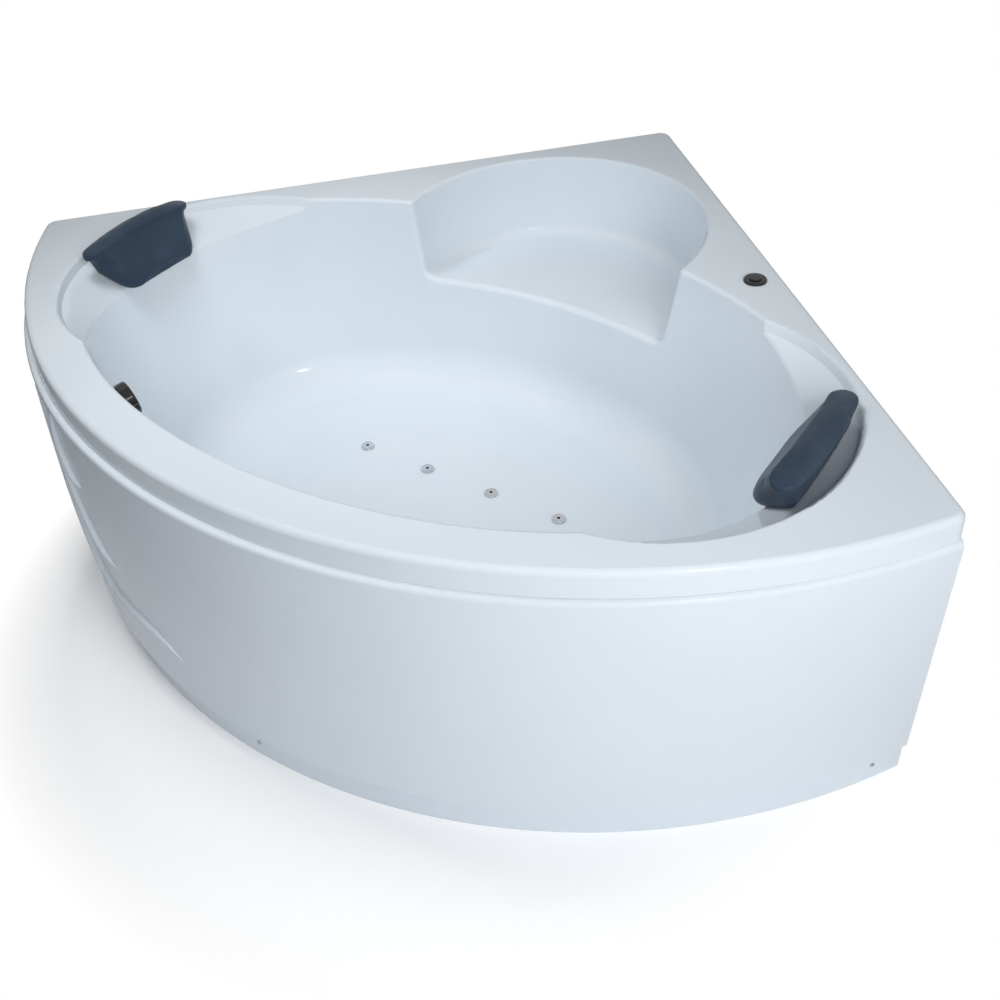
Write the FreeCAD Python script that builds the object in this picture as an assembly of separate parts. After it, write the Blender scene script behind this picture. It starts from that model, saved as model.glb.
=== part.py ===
"""Corner bathtub with an air massage system, as separate pieces, in millimetres.

The pieces are drawn in a plan frame that is easy to reason about: "right" and "forward" are
measured from the corner of the room, forward along the diagonal towards the bather's side,
and "up" is measured from the floor. Each finished piece is then turned by 45 degrees, so that
the two walls lie along +X and +Y, and moved so that the origin is at the middle of the base.
"""

import FreeCAD
import Part
import math
import os

Vector = FreeCAD.Vector
UP = Vector(0, 0, 1)
ROOT2 = math.sqrt(2)

# ---- overall form -------------------------------------------------------------------------
RIM_HEIGHT = 620.0          # floor to the top of the deck
WALL_SIDE = 1480.0          # each straight side, along a wall
RIM_APEX = 1594.0           # corner of the room to the middle of the curved front
SHOULDER_SIDE = 862.0       # where the front's middle arc meets its side arcs
SHOULDER_DROP = 332.6       # how far the shoulder lies behind the apex
ACRYLIC = 6.0               # reinforced sheet
SKIRT_DEPTH = 45.0          # turned-down edge of the deck
RIM_EDGE_RADIUS = 12.0
RIM_CORNER_RADIUS = 25.0
LIP_RADIUS = 8.0            # deck into the hollows

# Outward steps of a front outline from the deck's own outline: (apex, shoulder, end).
DECK_LINE = (0.0, 0.0, 0.0)
SKIRT_LINE = (9.0, 5.0, 1.0)
PANEL_TOP_LINE = (22.7, 14.0, 9.9)
PANEL_FOOT_LINE = (48.9, 12.4, -5.0)
PLINTH_LINE = (37.5, 1.6, -15.5)

# ---- hollows ------------------------------------------------------------------------------
WELL_FORWARD = 1026.0       # centre of the oval well
WELL_HALF_DEPTH = 477.0     # at the deck, along the diagonal
WELL_HALF_WIDTH = 790.0
WELL_DEPTH = 429.0
FLOOR_HALF_DEPTH = 440.0    # the same oval where walls and floor would meet unrounded
FLOOR_HALF_WIDTH = 600.0
FLOOR_FILLET = 100.0

SEAT_FORWARD = 548.0
SEAT_TOP_RADIUS = 339.0
SEAT_FLOOR_RADIUS = 311.0
SEAT_DEPTH = 180.0
SEAT_FILLET = 28.0
SEAT_EDGE_RADIUS = 12.0

SCOOP_RIGHT = 513.0         # centre of each round head recess, to either side
SCOOP_RADIUS = 340.0
SCOOP_STEP = 18.0           # steep edge of the recess
SCOOP_STEP_DRAFT = 7.0
SCOOP_SLOPE = math.radians(30.0)
SCOOP_INNER_RADIUS = 150.0
SCOOP_EDGE_RADIUS = 10.0

# ---- front panel and plinth ---------------------------------------------------------------
PANEL_SHEET = 4.0
PANEL_TOP_GAP = 0.5         # under the skirt
PANEL_SHOULDER_RADIUS = 9.0
PANEL_FLANGE = 25.0
PANEL_WALL_GAP = 6.0
PLINTH_HEIGHT = 73.0
PLINTH_GAP = 0.3
GILL_DEPTH = 10.0
GILL_SINK = 2.5
GILL_RISE = 9.0             # width of the steep side, from the panel to the crest
GILL_WIDTH = 46.0           # from the steep side to where the face runs out
GILL_TIP_SHARE = 0.12       # of each size, at the two ends
GILL_STATIONS = 16
# The line of each gill's steep side, from its tip, as distance to the right and height.
GILL_LINES = (
    ((-437, 430), (-461, 447), (-485, 474), (-496, 514), (-503, 558)),
    ((-354, 286), (-410, 304), (-445, 332), (-482, 374), (-515, 422), (-540, 490), (-556, 558)),
    ((-166, 170), (-210, 194), (-290, 202), (-368, 196), (-440, 200), (-492, 220), (-530, 268),
     (-562, 350), (-590, 450), (-612, 558)),
)

SCREW_RIGHTS = (-998.0, 0.0, 998.0)
SCREW_HEIGHT = 40.0
SCREW_RADIUS = 2.4
SCREW_HEAD_RADIUS = 4.5
SCREW_HEAD_HEIGHT = 2.2
SCREW_LENGTH = 22.0
BRACKET_WIDTH = 60.0
BRACKET_HEIGHT = 62.0
BRACKET_FOOT = 55.0
BRACKET_SHEET = 3.0
BRACKET_GAP = 0.8
BRACKET_HOLE_RADIUS = 3.5

# ---- headrests ----------------------------------------------------------------------------
PILLOW_FORWARD = 1008.0     # middle of each headrest, a little behind the well's
PILLOW_RISE = 40.0          # top of the crown over the deck
PILLOW_CROWN = 11.0         # how much lower the ends are
PILLOW_HALF_WIDTH = 150.0
PILLOW_REAR = 819.0         # from the diagonal to the rear edge
PILLOW_FRONT = 762.0        # to the front edge at the top
PILLOW_WAIST = 7.0          # hollow of the front edge for the neck
PILLOW_REAR_BOW = 9.0
PILLOW_LIP = 19.0           # thickness of the top pad
PILLOW_DROP = 70.0          # lower edge under the deck
PILLOW_FACE_TRAVEL = 57.0   # front face moves in by this much on the way down
PILLOW_FOOT_HALF_WIDTH = 104.0
PILLOW_NECK_HALF_WIDTH = 141.0
PILLOW_EDGE_RADIUS = 7.0
PIN_RIGHT = 795.0
PIN_SPREAD = 80.0
PIN_RADIUS = 5.0
PIN_CLEARANCE = 0.1
PIN_HEAD_RADIUS = 8.0
PIN_HEAD_HEIGHT = 5.0
PIN_SOCKET_DEPTH = 16.0
PIN_TAIL = 14.0             # below the acrylic

# ---- air switch on the deck ---------------------------------------------------------------
BUTTON_PLACE = (485.7, 565.3)
BUTTON_BEZEL_RADIUS = 23.0
BUTTON_BEZEL_HEIGHT = 5.0
BUTTON_CAP_RADIUS = 13.0
BUTTON_CAP_GAP = 0.08
BUTTON_CAP_RISE = 3.0
BUTTON_TRAVEL = 3.0
BUTTON_BODY_RADIUS = 15.0
BUTTON_BODY_LENGTH = 42.0
BUTTON_NUT_RADIUS = 22.0
BUTTON_NUT_HEIGHT = 8.0
BELLOWS_LENGTH = 26.0
AIR_TUBE_RADIUS = 3.0

# ---- air jets -----------------------------------------------------------------------------
JET_FORWARD = 948.0
JET_RIGHTS = (-255.0, -85.0, 85.0, 255.0)
JET_FACE_RADIUS = 16.0
JET_FACE_HEIGHT = 5.0
JET_NOZZLE_RADIUS = 3.5
JET_BODY_RADIUS = 12.5
JET_BODY_FOOT = 132.0
JET_HOLE_CLEARANCE = 0.3
JET_NUT_RADIUS = 20.0
JET_NUT_HEIGHT = 9.0
MANIFOLD_HEIGHT = 114.0
MANIFOLD_RADIUS = 16.0
MANIFOLD_WALL = 3.0
MANIFOLD_SOCKET_RADIUS = 17.0
MANIFOLD_SOCKET_TOP = 152.0
MANIFOLD_END = 300.0

# ---- blower -------------------------------------------------------------------------------
BLOWER_PLACE = (-170.0, 470.0)
BLOWER_RADIUS = 100.0
BLOWER_WALL = 4.0
BLOWER_FEET_HEIGHT = 6.0
BLOWER_CASE_HEIGHT = 76.0
BLOWER_COVER_HEIGHT = 8.0
IMPELLER_RADIUS = 84.0
IMPELLER_HEIGHT = 30.0
IMPELLER_BLADES = 8
IMPELLER_SEAT = 10.0        # over the floor of the case
SHAFT_RADIUS = 4.0
SHAFT_CLEARANCE = 0.05
MOTOR_RADIUS = 55.0
MOTOR_HEIGHT = 105.0
MOTOR_CAP_HEIGHT = 12.0
OUTLET_RADIUS = 17.0
OUTLET_RISE = 36.0          # centre of the outlet over the foot of the case
CHECK_VALVE_RADIUS = 24.0
CHECK_VALVE_LENGTH = 50.0
HOSE_RADIUS = 16.0
HOSE_WALL = 3.0
HOSE_BEND = 42.0
HOSE_RIGHT = -385.0
TRAY_SHEET = 2.0
TRAY_LEFT = -285.0
TRAY_BACK = 365.0
CONTROL_BOX = (60.0, 110.0, 160.0)
CONTROL_BOX_FOOT = 230.0

# ---- waste and overflow -------------------------------------------------------------------
DRAIN_PLACE = (-190.0, 1250.0)
DRAIN_HOLE_RADIUS = 26.0
DRAIN_FLANGE_RADIUS = 35.0
DRAIN_FLANGE_HEIGHT = 3.0
DRAIN_TUBE_RADIUS = 25.5
DRAIN_TUBE_WALL = 4.0
DRAIN_TUBE_FOOT = 150.0
DRAIN_GASKET_HEIGHT = 5.0
DRAIN_BODY_RADIUS = 34.0
DRAIN_BODY_WALL = 5.0
DRAIN_BODY_FOOT = 87.0
PLUG_RADIUS = 30.0
PLUG_HEIGHT = 6.0
PLUG_SEAT_GAP = 0.3
PLUG_STEM_RADIUS = 4.0
PLUG_STEM_LENGTH = 60.0
PIPE_RADIUS = 20.0
PIPE_WALL = 2.0
PIPE_CLEARANCE = 0.1
WASTE_HEIGHT = 112.0        # axis of the branch from the overflow
SOCKET_WALL = 4.0
TRAP_RADIUS = 45.0
TRAP_TOP = 84.0
TRAP_HEIGHT = 60.0
TRAP_WALL = 3.0
OUTLET_HEIGHT = 55.0
OUTLET_REACH = 120.0        # from the drain's axis to the spigot's end
OUTLET_COLLAR_REACH = 60.0
OUTLET_COLLAR_RADIUS = 24.0
OVERFLOW_RIGHT = -395.0
OVERFLOW_DROP = 50.0        # centre of the overflow under the deck
OVERFLOW_HOLE_RADIUS = 25.0
OVERFLOW_NECK_RADIUS = 24.7
OVERFLOW_RING_RADIUS = 31.0
OVERFLOW_GASKET = 3.0
OVERFLOW_BODY_RADIUS = 27.0
OVERFLOW_BODY_LENGTH = 34.0
OVERFLOW_FLANGE_RADIUS = 34.0
OVERFLOW_FLANGE_HEIGHT = 4.0
OVERFLOW_RING_HEIGHT = 3.0
OVERFLOW_PIPE_SETBACK = 28.0
OVERFLOW_SOCKET_FOOT = 506.0
KNOB_RADIUS = 34.0
KNOB_STANDOFF = 5.0
KNOB_LENGTH = 21.0
KNOB_WALL = 4.0
KNOB_HUB_RADIUS = 9.0
KNOB_SCALLOPS = 6
KNOB_SCALLOP_RADIUS = 7.0
SPINDLE_RADIUS = 5.0
SPINDLE_CLEARANCE = 0.05
CABLE_RADIUS = 2.5
CABLE_SIDE = 27.5
CABLE_BEND = 60.0
CABLE_LUG_RADIUS = 7.0

# ---- frame and feet -----------------------------------------------------------------------
BOARD_THICKNESS = 18.0
BOARD_HALF_DEPTH = 330.0
BOARD_HALF_WIDTH = 520.0
RAIL = 30.0
RAIL_WALL = 2.0
REAR_RAIL_FORWARD = 640.0
REAR_RAIL_HALF = 578.0
FRONT_RAIL_FORWARD = 1306.0
FRONT_RAIL_HALF = 773.0
CROSS_RAIL_RIGHT = 380.0
SPINE_BACK = 130.0
SEAT_POST_FORWARD = 505.0
SEAT_PAD = (220.0, 120.0, 12.0)
REAR_POST_RIGHT = 560.0
FRONT_POST_RIGHT = 756.0
CORNER_POST_FORWARD = 145.0
FOOT_PAD_RADIUS = 28.0
FOOT_PAD_HEIGHT = 14.0
STUD_RADIUS = 6.0
STUD_CLEARANCE = 0.05
STUD_TOP_GAP = 3.0
NUT_RADIUS = 11.0
NUT_HEIGHT = 9.0
FOOT_INSET = 45.0           # from a rail's end to its foot

FLOOR_TOP = RIM_HEIGHT - WELL_DEPTH
FLOOR_UNDER = FLOOR_TOP - ACRYLIC
DECK_UNDER = RIM_HEIGHT - ACRYLIC
BOARD_UNDER = FLOOR_UNDER - BOARD_THICKNESS
RAIL_UNDER = BOARD_UNDER - RAIL
SKIRT_FOOT = RIM_HEIGHT - SKIRT_DEPTH
PANEL_TOP = SKIRT_FOOT - PANEL_TOP_GAP
WELL_OVERRUN = 20.0         # the hollows are cut from this far over the deck


# ---- plan geometry ------------------------------------------------------------------------
def point(right, forward, up):
    """A point of the plan frame."""
    return Vector(right, -forward, up)


def unit(a, b):
    """The plan direction (a, b) at length 1."""
    length = math.hypot(a, b)
    return a / length, b / length


def side_arc(start, along, end):
    """Middle point and centre of the arc that leaves start along a direction and reaches end."""
    inward = (along[1], -along[0])
    chord = (end[0] - start[0], end[1] - start[1])
    radius = (chord[0] ** 2 + chord[1] ** 2) / (2 * (chord[0] * inward[0] + chord[1] * inward[1]))
    centre = (start[0] + inward[0] * radius, start[1] + inward[1] * radius)
    spoke = unit((start[0] + end[0]) / 2 - centre[0], (start[1] + end[1]) / 2 - centre[1])
    middle = (centre[0] + spoke[0] * abs(radius), centre[1] + spoke[1] * abs(radius))
    return middle, centre


def half_outline(apex, shoulder, end):
    """The right half of a front outline: its points and the direction in which it ends."""
    drop = apex - shoulder[1]
    radius = (shoulder[0] ** 2 + drop ** 2) / (2 * drop)
    spoke = unit(shoulder[0], shoulder[1] - (apex - radius))
    middle, centre = side_arc(shoulder, (spoke[1], -spoke[0]), end)
    last = unit(end[0] - centre[0], end[1] - centre[1])
    return {"apex": apex, "shoulder": shoulder, "middle": middle, "end": end,
            "out_at_shoulder": spoke, "out_at_end": last}


def deck_outline():
    """The deck's own front outline."""
    half = WALL_SIDE / ROOT2
    return half_outline(RIM_APEX, (SHOULDER_SIDE, RIM_APEX - SHOULDER_DROP), (half, half))


def front_outline(line, inset=0.0):
    """A front outline, stepped outwards from the deck's by a line of three steps."""
    base = deck_outline()
    apex_step, shoulder_step, end_step = (step - inset for step in line)
    out = base["out_at_shoulder"]
    shoulder = (base["shoulder"][0] + out[0] * shoulder_step, base["shoulder"][1] + out[1] * shoulder_step)
    out = base["out_at_end"]
    end = (base["end"][0] + out[0] * end_step, base["end"][1] + out[1] * end_step)
    return half_outline(base["apex"] + apex_step, shoulder, end)


def front_reach(line, right, inset=0.0):
    """How far forward a front outline lies at a distance to the right, and its outward direction."""
    outline = front_outline(line, inset)
    side = abs(right)
    if side <= outline["shoulder"][0]:
        drop = outline["apex"] - outline["shoulder"][1]
        radius = (outline["shoulder"][0] ** 2 + drop ** 2) / (2 * drop)
        centre = (0.0, outline["apex"] - radius)
    else:
        out = outline["out_at_shoulder"]
        middle, centre = side_arc(outline["shoulder"], (out[1], -out[0]), outline["end"])
        radius = math.hypot(outline["end"][0] - centre[0], outline["end"][1] - centre[1])
    forward = centre[1] + math.sqrt(radius ** 2 - (side - centre[0]) ** 2)
    out = unit(side - centre[0], forward - centre[1])
    return forward, (math.copysign(out[0], right), out[1])


def plan_wire(line, inset, up):
    """A closed outline whose front follows a line, and whose back lies beyond the walls."""
    run_on, beyond = 40.0, 400.0
    outline = front_outline(line, inset)
    out = outline["out_at_end"]
    tail = (outline["end"][0] + out[1] * run_on, outline["end"][1] - out[0] * run_on)

    def at(place, side):
        return point(side * place[0], place[1], up)

    edges = []
    for side in (-1, 1):
        end, middle, shoulder = (at(outline[name], side) for name in ("end", "middle", "shoulder"))
        edges.append(Part.LineSegment(at(tail, side), end).toShape())
        edges.append(Part.Arc(end, middle, shoulder).toShape())
    apex = point(0, outline["apex"], up)
    edges.append(Part.Arc(at(outline["shoulder"], -1), apex, at(outline["shoulder"], 1)).toShape())
    far = tail[0] + beyond
    corners = [at(tail, 1), point(far, tail[1], up), point(far, -beyond, up),
               point(-far, -beyond, up), point(-far, tail[1], up), at(tail, -1)]
    edges += [Part.LineSegment(a, b).toShape() for a, b in zip(corners, corners[1:])]
    return Part.Wire(Part.__sortEdges__(edges))


def room(gap, low, high):
    """The corner of the room, kept a gap away from both walls."""
    reach = 2 * RIM_APEX
    start = gap * ROOT2
    corners = [point(0, start, low), point(reach, start + reach, low), point(-reach, start + reach, low)]
    return Part.Face(Part.makePolygon(corners + corners[:1])).extrude(Vector(0, 0, high - low))


def corner_block(foot_line, foot, top_line, top, inset, wall_gap):
    """A solid between two heights whose front follows one line at its foot and another at its top."""
    wires = [plan_wire(foot_line, inset, foot), plan_wire(top_line, inset, top)]
    return Part.makeLoft(wires, True, True).common(room(wall_gap, foot - 1, top + 1))


def edges_at(shape, up):
    """The edges that lie wholly at one height."""
    return [e for e in shape.Edges if abs(e.BoundBox.ZMin - up) < 0.01 and abs(e.BoundBox.ZMax - up) < 0.01]


def wall_corners(block, wall_gap):
    """A block's upright edges that stand a gap from a wall."""
    found = []
    for edge in block.Edges:
        ends = [vertex.Point for vertex in edge.Vertexes]
        off_wall = min(abs(-ends[0].y - abs(ends[0].x)) / ROOT2, abs(-ends[-1].y - abs(ends[-1].x)) / ROOT2)
        if abs(ends[0].z - ends[-1].z) > 1 and abs(off_wall - wall_gap) < 0.5:
            found.append(edge)
    return found


def middle_of(edge):
    """The point halfway along an edge."""
    return edge.valueAt((edge.FirstParameter + edge.LastParameter) / 2)


def shared_edges(shape, first, second, ceiling):
    """The edges under a ceiling that lie on the surfaces of both of two solids."""
    found = []
    for edge in shape.Edges:
        spot = Part.Vertex(middle_of(edge))
        on_both = all(spot.distToShape(solid.Shells[0])[0] < 0.01 for solid in (first, second))
        if edge.CenterOfMass.z < ceiling and on_both:
            found.append(edge)
    return found


def disc(centre, radius, height, axis=UP):
    """A cylinder that starts at a centre and runs along an axis."""
    return Part.makeCylinder(radius, height, centre, axis)


def ring(centre, outer, inner, height, axis=UP):
    """A cylinder with a bore right through it."""
    over = 1.0
    bore = disc(centre - axis * over, inner, height + 2 * over, axis)
    return disc(centre, outer, height, axis).cut(bore)


def domed(centre, radius, height, edge, axis=UP):
    """A disc whose far edge is rounded."""
    body = disc(centre, radius, height, axis)
    rim = [e for e in body.Edges if e.Closed and (e.CenterOfMass - centre).dot(axis) > height / 2]
    return body.makeFillet(edge, rim)


def bent_path(corners, bend):
    """Straight runs through corner points, joined by arcs of one radius."""
    edges, start = [], corners[0]
    for before, corner, after in zip(corners, corners[1:], corners[2:]):
        back = (before - corner).normalize()
        on = (after - corner).normalize()
        half_angle = back.getAngle(on) / 2
        setback = bend / math.tan(half_angle)
        bisector = (back + on).normalize()
        middle = corner + bisector * (bend / math.sin(half_angle) - bend)
        first, last = corner + back * setback, corner + on * setback
        edges.append(Part.LineSegment(start, first).toShape())
        edges.append(Part.Arc(first, middle, last).toShape())
        start = last
    edges.append(Part.LineSegment(start, corners[-1]).toShape())
    return Part.Wire(edges)


def tube(corners, bend, radius, bore=0.0):
    """A round tube along a bent path."""
    path = bent_path(corners, bend)
    along = (corners[1] - corners[0]).normalize()

    def pipe(size):
        section = Part.Wire(Part.Circle(corners[0], along, size).toShape())
        return path.makePipeShell([section], True, False)

    return pipe(radius).cut(pipe(bore)) if bore else pipe(radius)


# ---- the shell ----------------------------------------------------------------------------
def oval(half_depth, half_width, up):
    """A closed oval about the well's centre."""
    centre = point(0, WELL_FORWARD, up)
    along = point(half_width, WELL_FORWARD, up)
    across = point(0, WELL_FORWARD - half_depth, up)
    major, minor = (along, across) if half_width > half_depth else (across, along)
    return Part.Wire(Part.Ellipse(major, minor, centre).toShape())


def well_half_sizes(up):
    """The well's half depth and half width at a height, without its floor fillet."""
    rise = (up - FLOOR_TOP) / WELL_DEPTH
    half_depth = FLOOR_HALF_DEPTH + (WELL_HALF_DEPTH - FLOOR_HALF_DEPTH) * rise
    half_width = FLOOR_HALF_WIDTH + (WELL_HALF_WIDTH - FLOOR_HALF_WIDTH) * rise
    return half_depth, half_width


def hollow_top(sheet):
    """Where a hollow's solid ends: over the deck, or inside the deck's sheet for its outer skin."""
    return RIM_HEIGHT + WELL_OVERRUN if sheet == 0 else RIM_HEIGHT - ACRYLIC / 6


def well_solid(sheet=0.0):
    """The oval well, grown by the thickness of a sheet."""
    top = hollow_top(sheet)
    half_depth, half_width = well_half_sizes(top)
    foot = oval(FLOOR_HALF_DEPTH + sheet, FLOOR_HALF_WIDTH + sheet, FLOOR_TOP - sheet)
    body = Part.makeLoft([foot, oval(half_depth + sheet, half_width + sheet, top)], True, True)
    return body.makeFillet(FLOOR_FILLET + sheet, edges_at(body, FLOOR_TOP - sheet))


def seat_solid(sheet=0.0):
    """The round seat recess in the back corner, grown by the thickness of a sheet."""
    top, foot = hollow_top(sheet), RIM_HEIGHT - SEAT_DEPTH
    rise = (top - foot) / SEAT_DEPTH
    top_radius = SEAT_FLOOR_RADIUS + (SEAT_TOP_RADIUS - SEAT_FLOOR_RADIUS) * rise
    base = point(0, SEAT_FORWARD, foot - sheet)
    body = Part.makeCone(SEAT_FLOOR_RADIUS + sheet, top_radius + sheet, top - foot + sheet, base, UP)
    return body.makeFillet(SEAT_FILLET + sheet, edges_at(body, foot - sheet))


def scoop_solid(side, sheet=0.0):
    """A head recess: a steep round step, then a cone that falls towards the well."""
    top = hollow_top(sheet)
    draft = SCOOP_STEP_DRAFT / SCOOP_STEP
    step_foot = RIM_HEIGHT - SCOOP_STEP - sheet
    step_radius = SCOOP_RADIUS - SCOOP_STEP_DRAFT + sheet
    fall = (step_radius - SCOOP_INNER_RADIUS) * math.tan(SCOOP_SLOPE)

    def at(radius, up):
        return point(side * SCOOP_RIGHT + radius, WELL_FORWARD, up)

    mouth = SCOOP_RADIUS + sheet + (top - RIM_HEIGHT) * draft
    profile = [at(0, top), at(mouth, top), at(step_radius, step_foot),
               at(SCOOP_INNER_RADIUS, step_foot - fall), at(0, step_foot - fall)]
    face = Part.Face(Part.makePolygon(profile + profile[:1]))
    return face.revolve(at(0, 0), UP, 360)


def hollows():
    """Everything that is scooped out of the deck, with the edges between the hollows rounded."""
    well, seat = well_solid(), seat_solid()
    under_top = RIM_HEIGHT + WELL_OVERRUN - 1
    space = well.fuse(seat).removeSplitter()
    space = space.makeFillet(SEAT_EDGE_RADIUS, shared_edges(space, well, seat, under_top))
    before = space
    scoops = [scoop_solid(side) for side in (-1, 1)]
    for scoop in scoops:
        space = space.fuse(scoop)
    space = space.removeSplitter()
    edges = [edge for scoop in scoops for edge in shared_edges(space, before, scoop, under_top)]
    return space.makeFillet(SCOOP_EDGE_RADIUS, edges)


def deck_block(inset, foot, top):
    """The deck with its turned-down edge, as a solid block."""
    block = corner_block(SKIRT_LINE, foot, DECK_LINE, top, inset, inset)
    return block.makeFillet(RIM_CORNER_RADIUS - inset, wall_corners(block, inset))


def overflow_frame():
    """The overflow's centre on the well's wall, and the wall's normal into the well."""
    up = RIM_HEIGHT - OVERFLOW_DROP
    half_depth, half_width = well_half_sizes(up)
    share = OVERFLOW_RIGHT / half_width
    forward = WELL_FORWARD + half_depth * math.sqrt(1 - share ** 2)
    spot = point(OVERFLOW_RIGHT, forward, up)
    side, ahead = unit(OVERFLOW_RIGHT / half_width ** 2, (forward - WELL_FORWARD) / half_depth ** 2)
    reach = math.hypot(half_depth * ahead, half_width * side)
    depth_draft = (WELL_HALF_DEPTH - FLOOR_HALF_DEPTH) / WELL_DEPTH
    width_draft = (WELL_HALF_WIDTH - FLOOR_HALF_WIDTH) / WELL_DEPTH
    lean = (half_depth * ahead ** 2 * depth_draft + half_width * side ** 2 * width_draft) / reach
    return spot, point(-side, -ahead, lean).normalize()


def pillow_pin_places():
    """Where the pins of both headrests go through the acrylic."""
    return [(side * PIN_RIGHT, PILLOW_FORWARD + along)
            for side in (-1, 1) for along in (-PIN_SPREAD, PIN_SPREAD)]


def shell_sheet():
    """The acrylic sheet before drilling: deck, turned-down edge, well, seat and head recesses."""
    outside = deck_block(0.0, SKIRT_FOOT, RIM_HEIGHT)
    outside = outside.makeFillet(RIM_EDGE_RADIUS, edges_at(outside, RIM_HEIGHT))
    below = 5.0
    skin = outside.cut(deck_block(ACRYLIC, SKIRT_FOOT - below, DECK_UNDER))
    scoops = [scoop_solid(side, ACRYLIC) for side in (-1, 1)]
    for hollow in [well_solid(ACRYLIC), seat_solid(ACRYLIC)] + scoops:
        skin = skin.fuse(hollow)
    space = hollows()
    skin = skin.cut(space)
    lip = [edge for edge in edges_at(skin, RIM_HEIGHT)
           if Part.Vertex(middle_of(edge)).distToShape(space.Shells[0])[0] < 0.01]
    return skin.makeFillet(LIP_RADIUS, lip)


def tub_shell(sheet):
    """The sheet with its holes for the overflow, drain, air switch, jets and headrest pins."""
    spot, inward = overflow_frame()
    through = 30.0
    holes = [disc(spot - inward * through, OVERFLOW_HOLE_RADIUS, 2 * through, inward),
             disc(point(*DRAIN_PLACE, FLOOR_UNDER - 1), DRAIN_HOLE_RADIUS, ACRYLIC + 2),
             disc(point(*BUTTON_PLACE, DECK_UNDER - 1), BUTTON_BODY_RADIUS + JET_HOLE_CLEARANCE, ACRYLIC + 2)]
    jet_hole = JET_BODY_RADIUS + JET_HOLE_CLEARANCE
    holes += [disc(point(right, JET_FORWARD, FLOOR_UNDER - 1), jet_hole, ACRYLIC + 2) for right in JET_RIGHTS]
    drop = 2 * PILLOW_DROP
    holes += [disc(point(*place, RIM_HEIGHT - drop), PIN_RADIUS + PIN_CLEARANCE, drop)
              for place in pillow_pin_places()]
    for hole in holes:
        sheet = sheet.cut(hole)
    return sheet


# ---- front panel --------------------------------------------------------------------------
def panel_line_at(up):
    """The front panel's outline steps at a height."""
    share = (up - PLINTH_HEIGHT) / (PANEL_TOP - PLINTH_HEIGHT)
    return tuple(low + (high - low) * share for low, high in zip(PANEL_FOOT_LINE, PANEL_TOP_LINE))


def on_panel(right, up, out):
    """A point a distance out from the front panel's face."""
    forward, outward = front_reach(panel_line_at(up), right)
    return point(right + outward[0] * out, forward + outward[1] * out, up)


def gill_corners(swell):
    """The corners of a gill's section, as distance across and height off the panel."""
    rise, depth = GILL_RISE * swell, GILL_DEPTH * swell
    return ((0.0, -GILL_SINK), (0.7 * rise, 0.8 * depth), (1.1 * rise, depth), (1.9 * rise, 0.92 * depth),
            (GILL_WIDTH * swell, -GILL_SINK))


def gill(line):
    """A raised gill: steep on one side of its line, and falling slowly to the panel on the other."""
    curve = Part.BSplineCurve()
    curve.interpolate([Vector(right, up, 0) for right, up in line])
    sections = []
    length = curve.LastParameter - curve.FirstParameter
    for station in range(GILL_STATIONS + 1):
        along = station / GILL_STATIONS
        parameter = curve.FirstParameter + length * along
        where = curve.value(parameter)
        on = curve.tangent(parameter)[0]
        foot = on_panel(where.x, where.y, 0.0)
        outward = (on_panel(where.x, where.y, 1.0) - foot).normalize()
        across = (on_panel(where.x - on.y, where.y + on.x, 0.0) - foot).normalize()
        swell = GILL_TIP_SHARE + (1 - GILL_TIP_SHARE) * min(1.0, math.sin(math.pi * along ** 0.8) * 1.3)
        corners = [foot + across * aside + outward * out for aside, out in gill_corners(swell)]
        sections.append(Part.makePolygon(corners + corners[:1]))
    return Part.makeLoft(sections, True, True)


def front_panel():
    """The curved front panel: shouldered top, gills at its left end, and turned-in edges."""
    skin = corner_block(PANEL_FOOT_LINE, PLINTH_HEIGHT, PANEL_TOP_LINE, PANEL_TOP, 0.0, PANEL_WALL_GAP)
    shoulder = [edge for edge in edges_at(skin, PANEL_TOP) if edge.Curve.TypeId != "Part::GeomLine"]
    skin = skin.makeFillet(PANEL_SHOULDER_RADIUS, shoulder)
    for line in GILL_LINES:
        skin = skin.fuse(gill(line))
    over = 1.0
    low, high = PLINTH_HEIGHT + PANEL_SHEET, PANEL_TOP - PANEL_SHEET
    skin = skin.cut(corner_block(panel_line_at(low), low, panel_line_at(high), high, PANEL_SHEET, 0.0))
    for line, foot, top in ((PANEL_TOP_LINE, high - over, PANEL_TOP + over),
                            (PANEL_FOOT_LINE, PLINTH_HEIGHT - over, low + over)):
        skin = skin.cut(corner_block(line, foot, line, top, PANEL_FLANGE, 0.0))
    return max(skin.Solids, key=lambda solid: solid.Volume)


def screw_frame(right):
    """A point on the plinth's face at a screw, and the outward direction there."""
    forward, out = front_reach(PLINTH_LINE, right)
    return point(right, forward, SCREW_HEIGHT), point(out[0], out[1], 0)


def plinth():
    """The set-back strip under the front panel, standing on the floor."""
    over = 1.0
    top = PLINTH_HEIGHT - PLINTH_GAP
    strip = corner_block(PLINTH_LINE, 0.0, PLINTH_LINE, top, 0.0, PANEL_WALL_GAP)
    strip = strip.cut(corner_block(PLINTH_LINE, -over, PLINTH_LINE, top + over, PANEL_SHEET, 0.0))
    for right in SCREW_RIGHTS:
        face, out = screw_frame(right)
        strip = strip.cut(disc(face + out * 5, SCREW_RADIUS, 4 * PANEL_SHEET, out * -1))
    return strip


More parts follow.
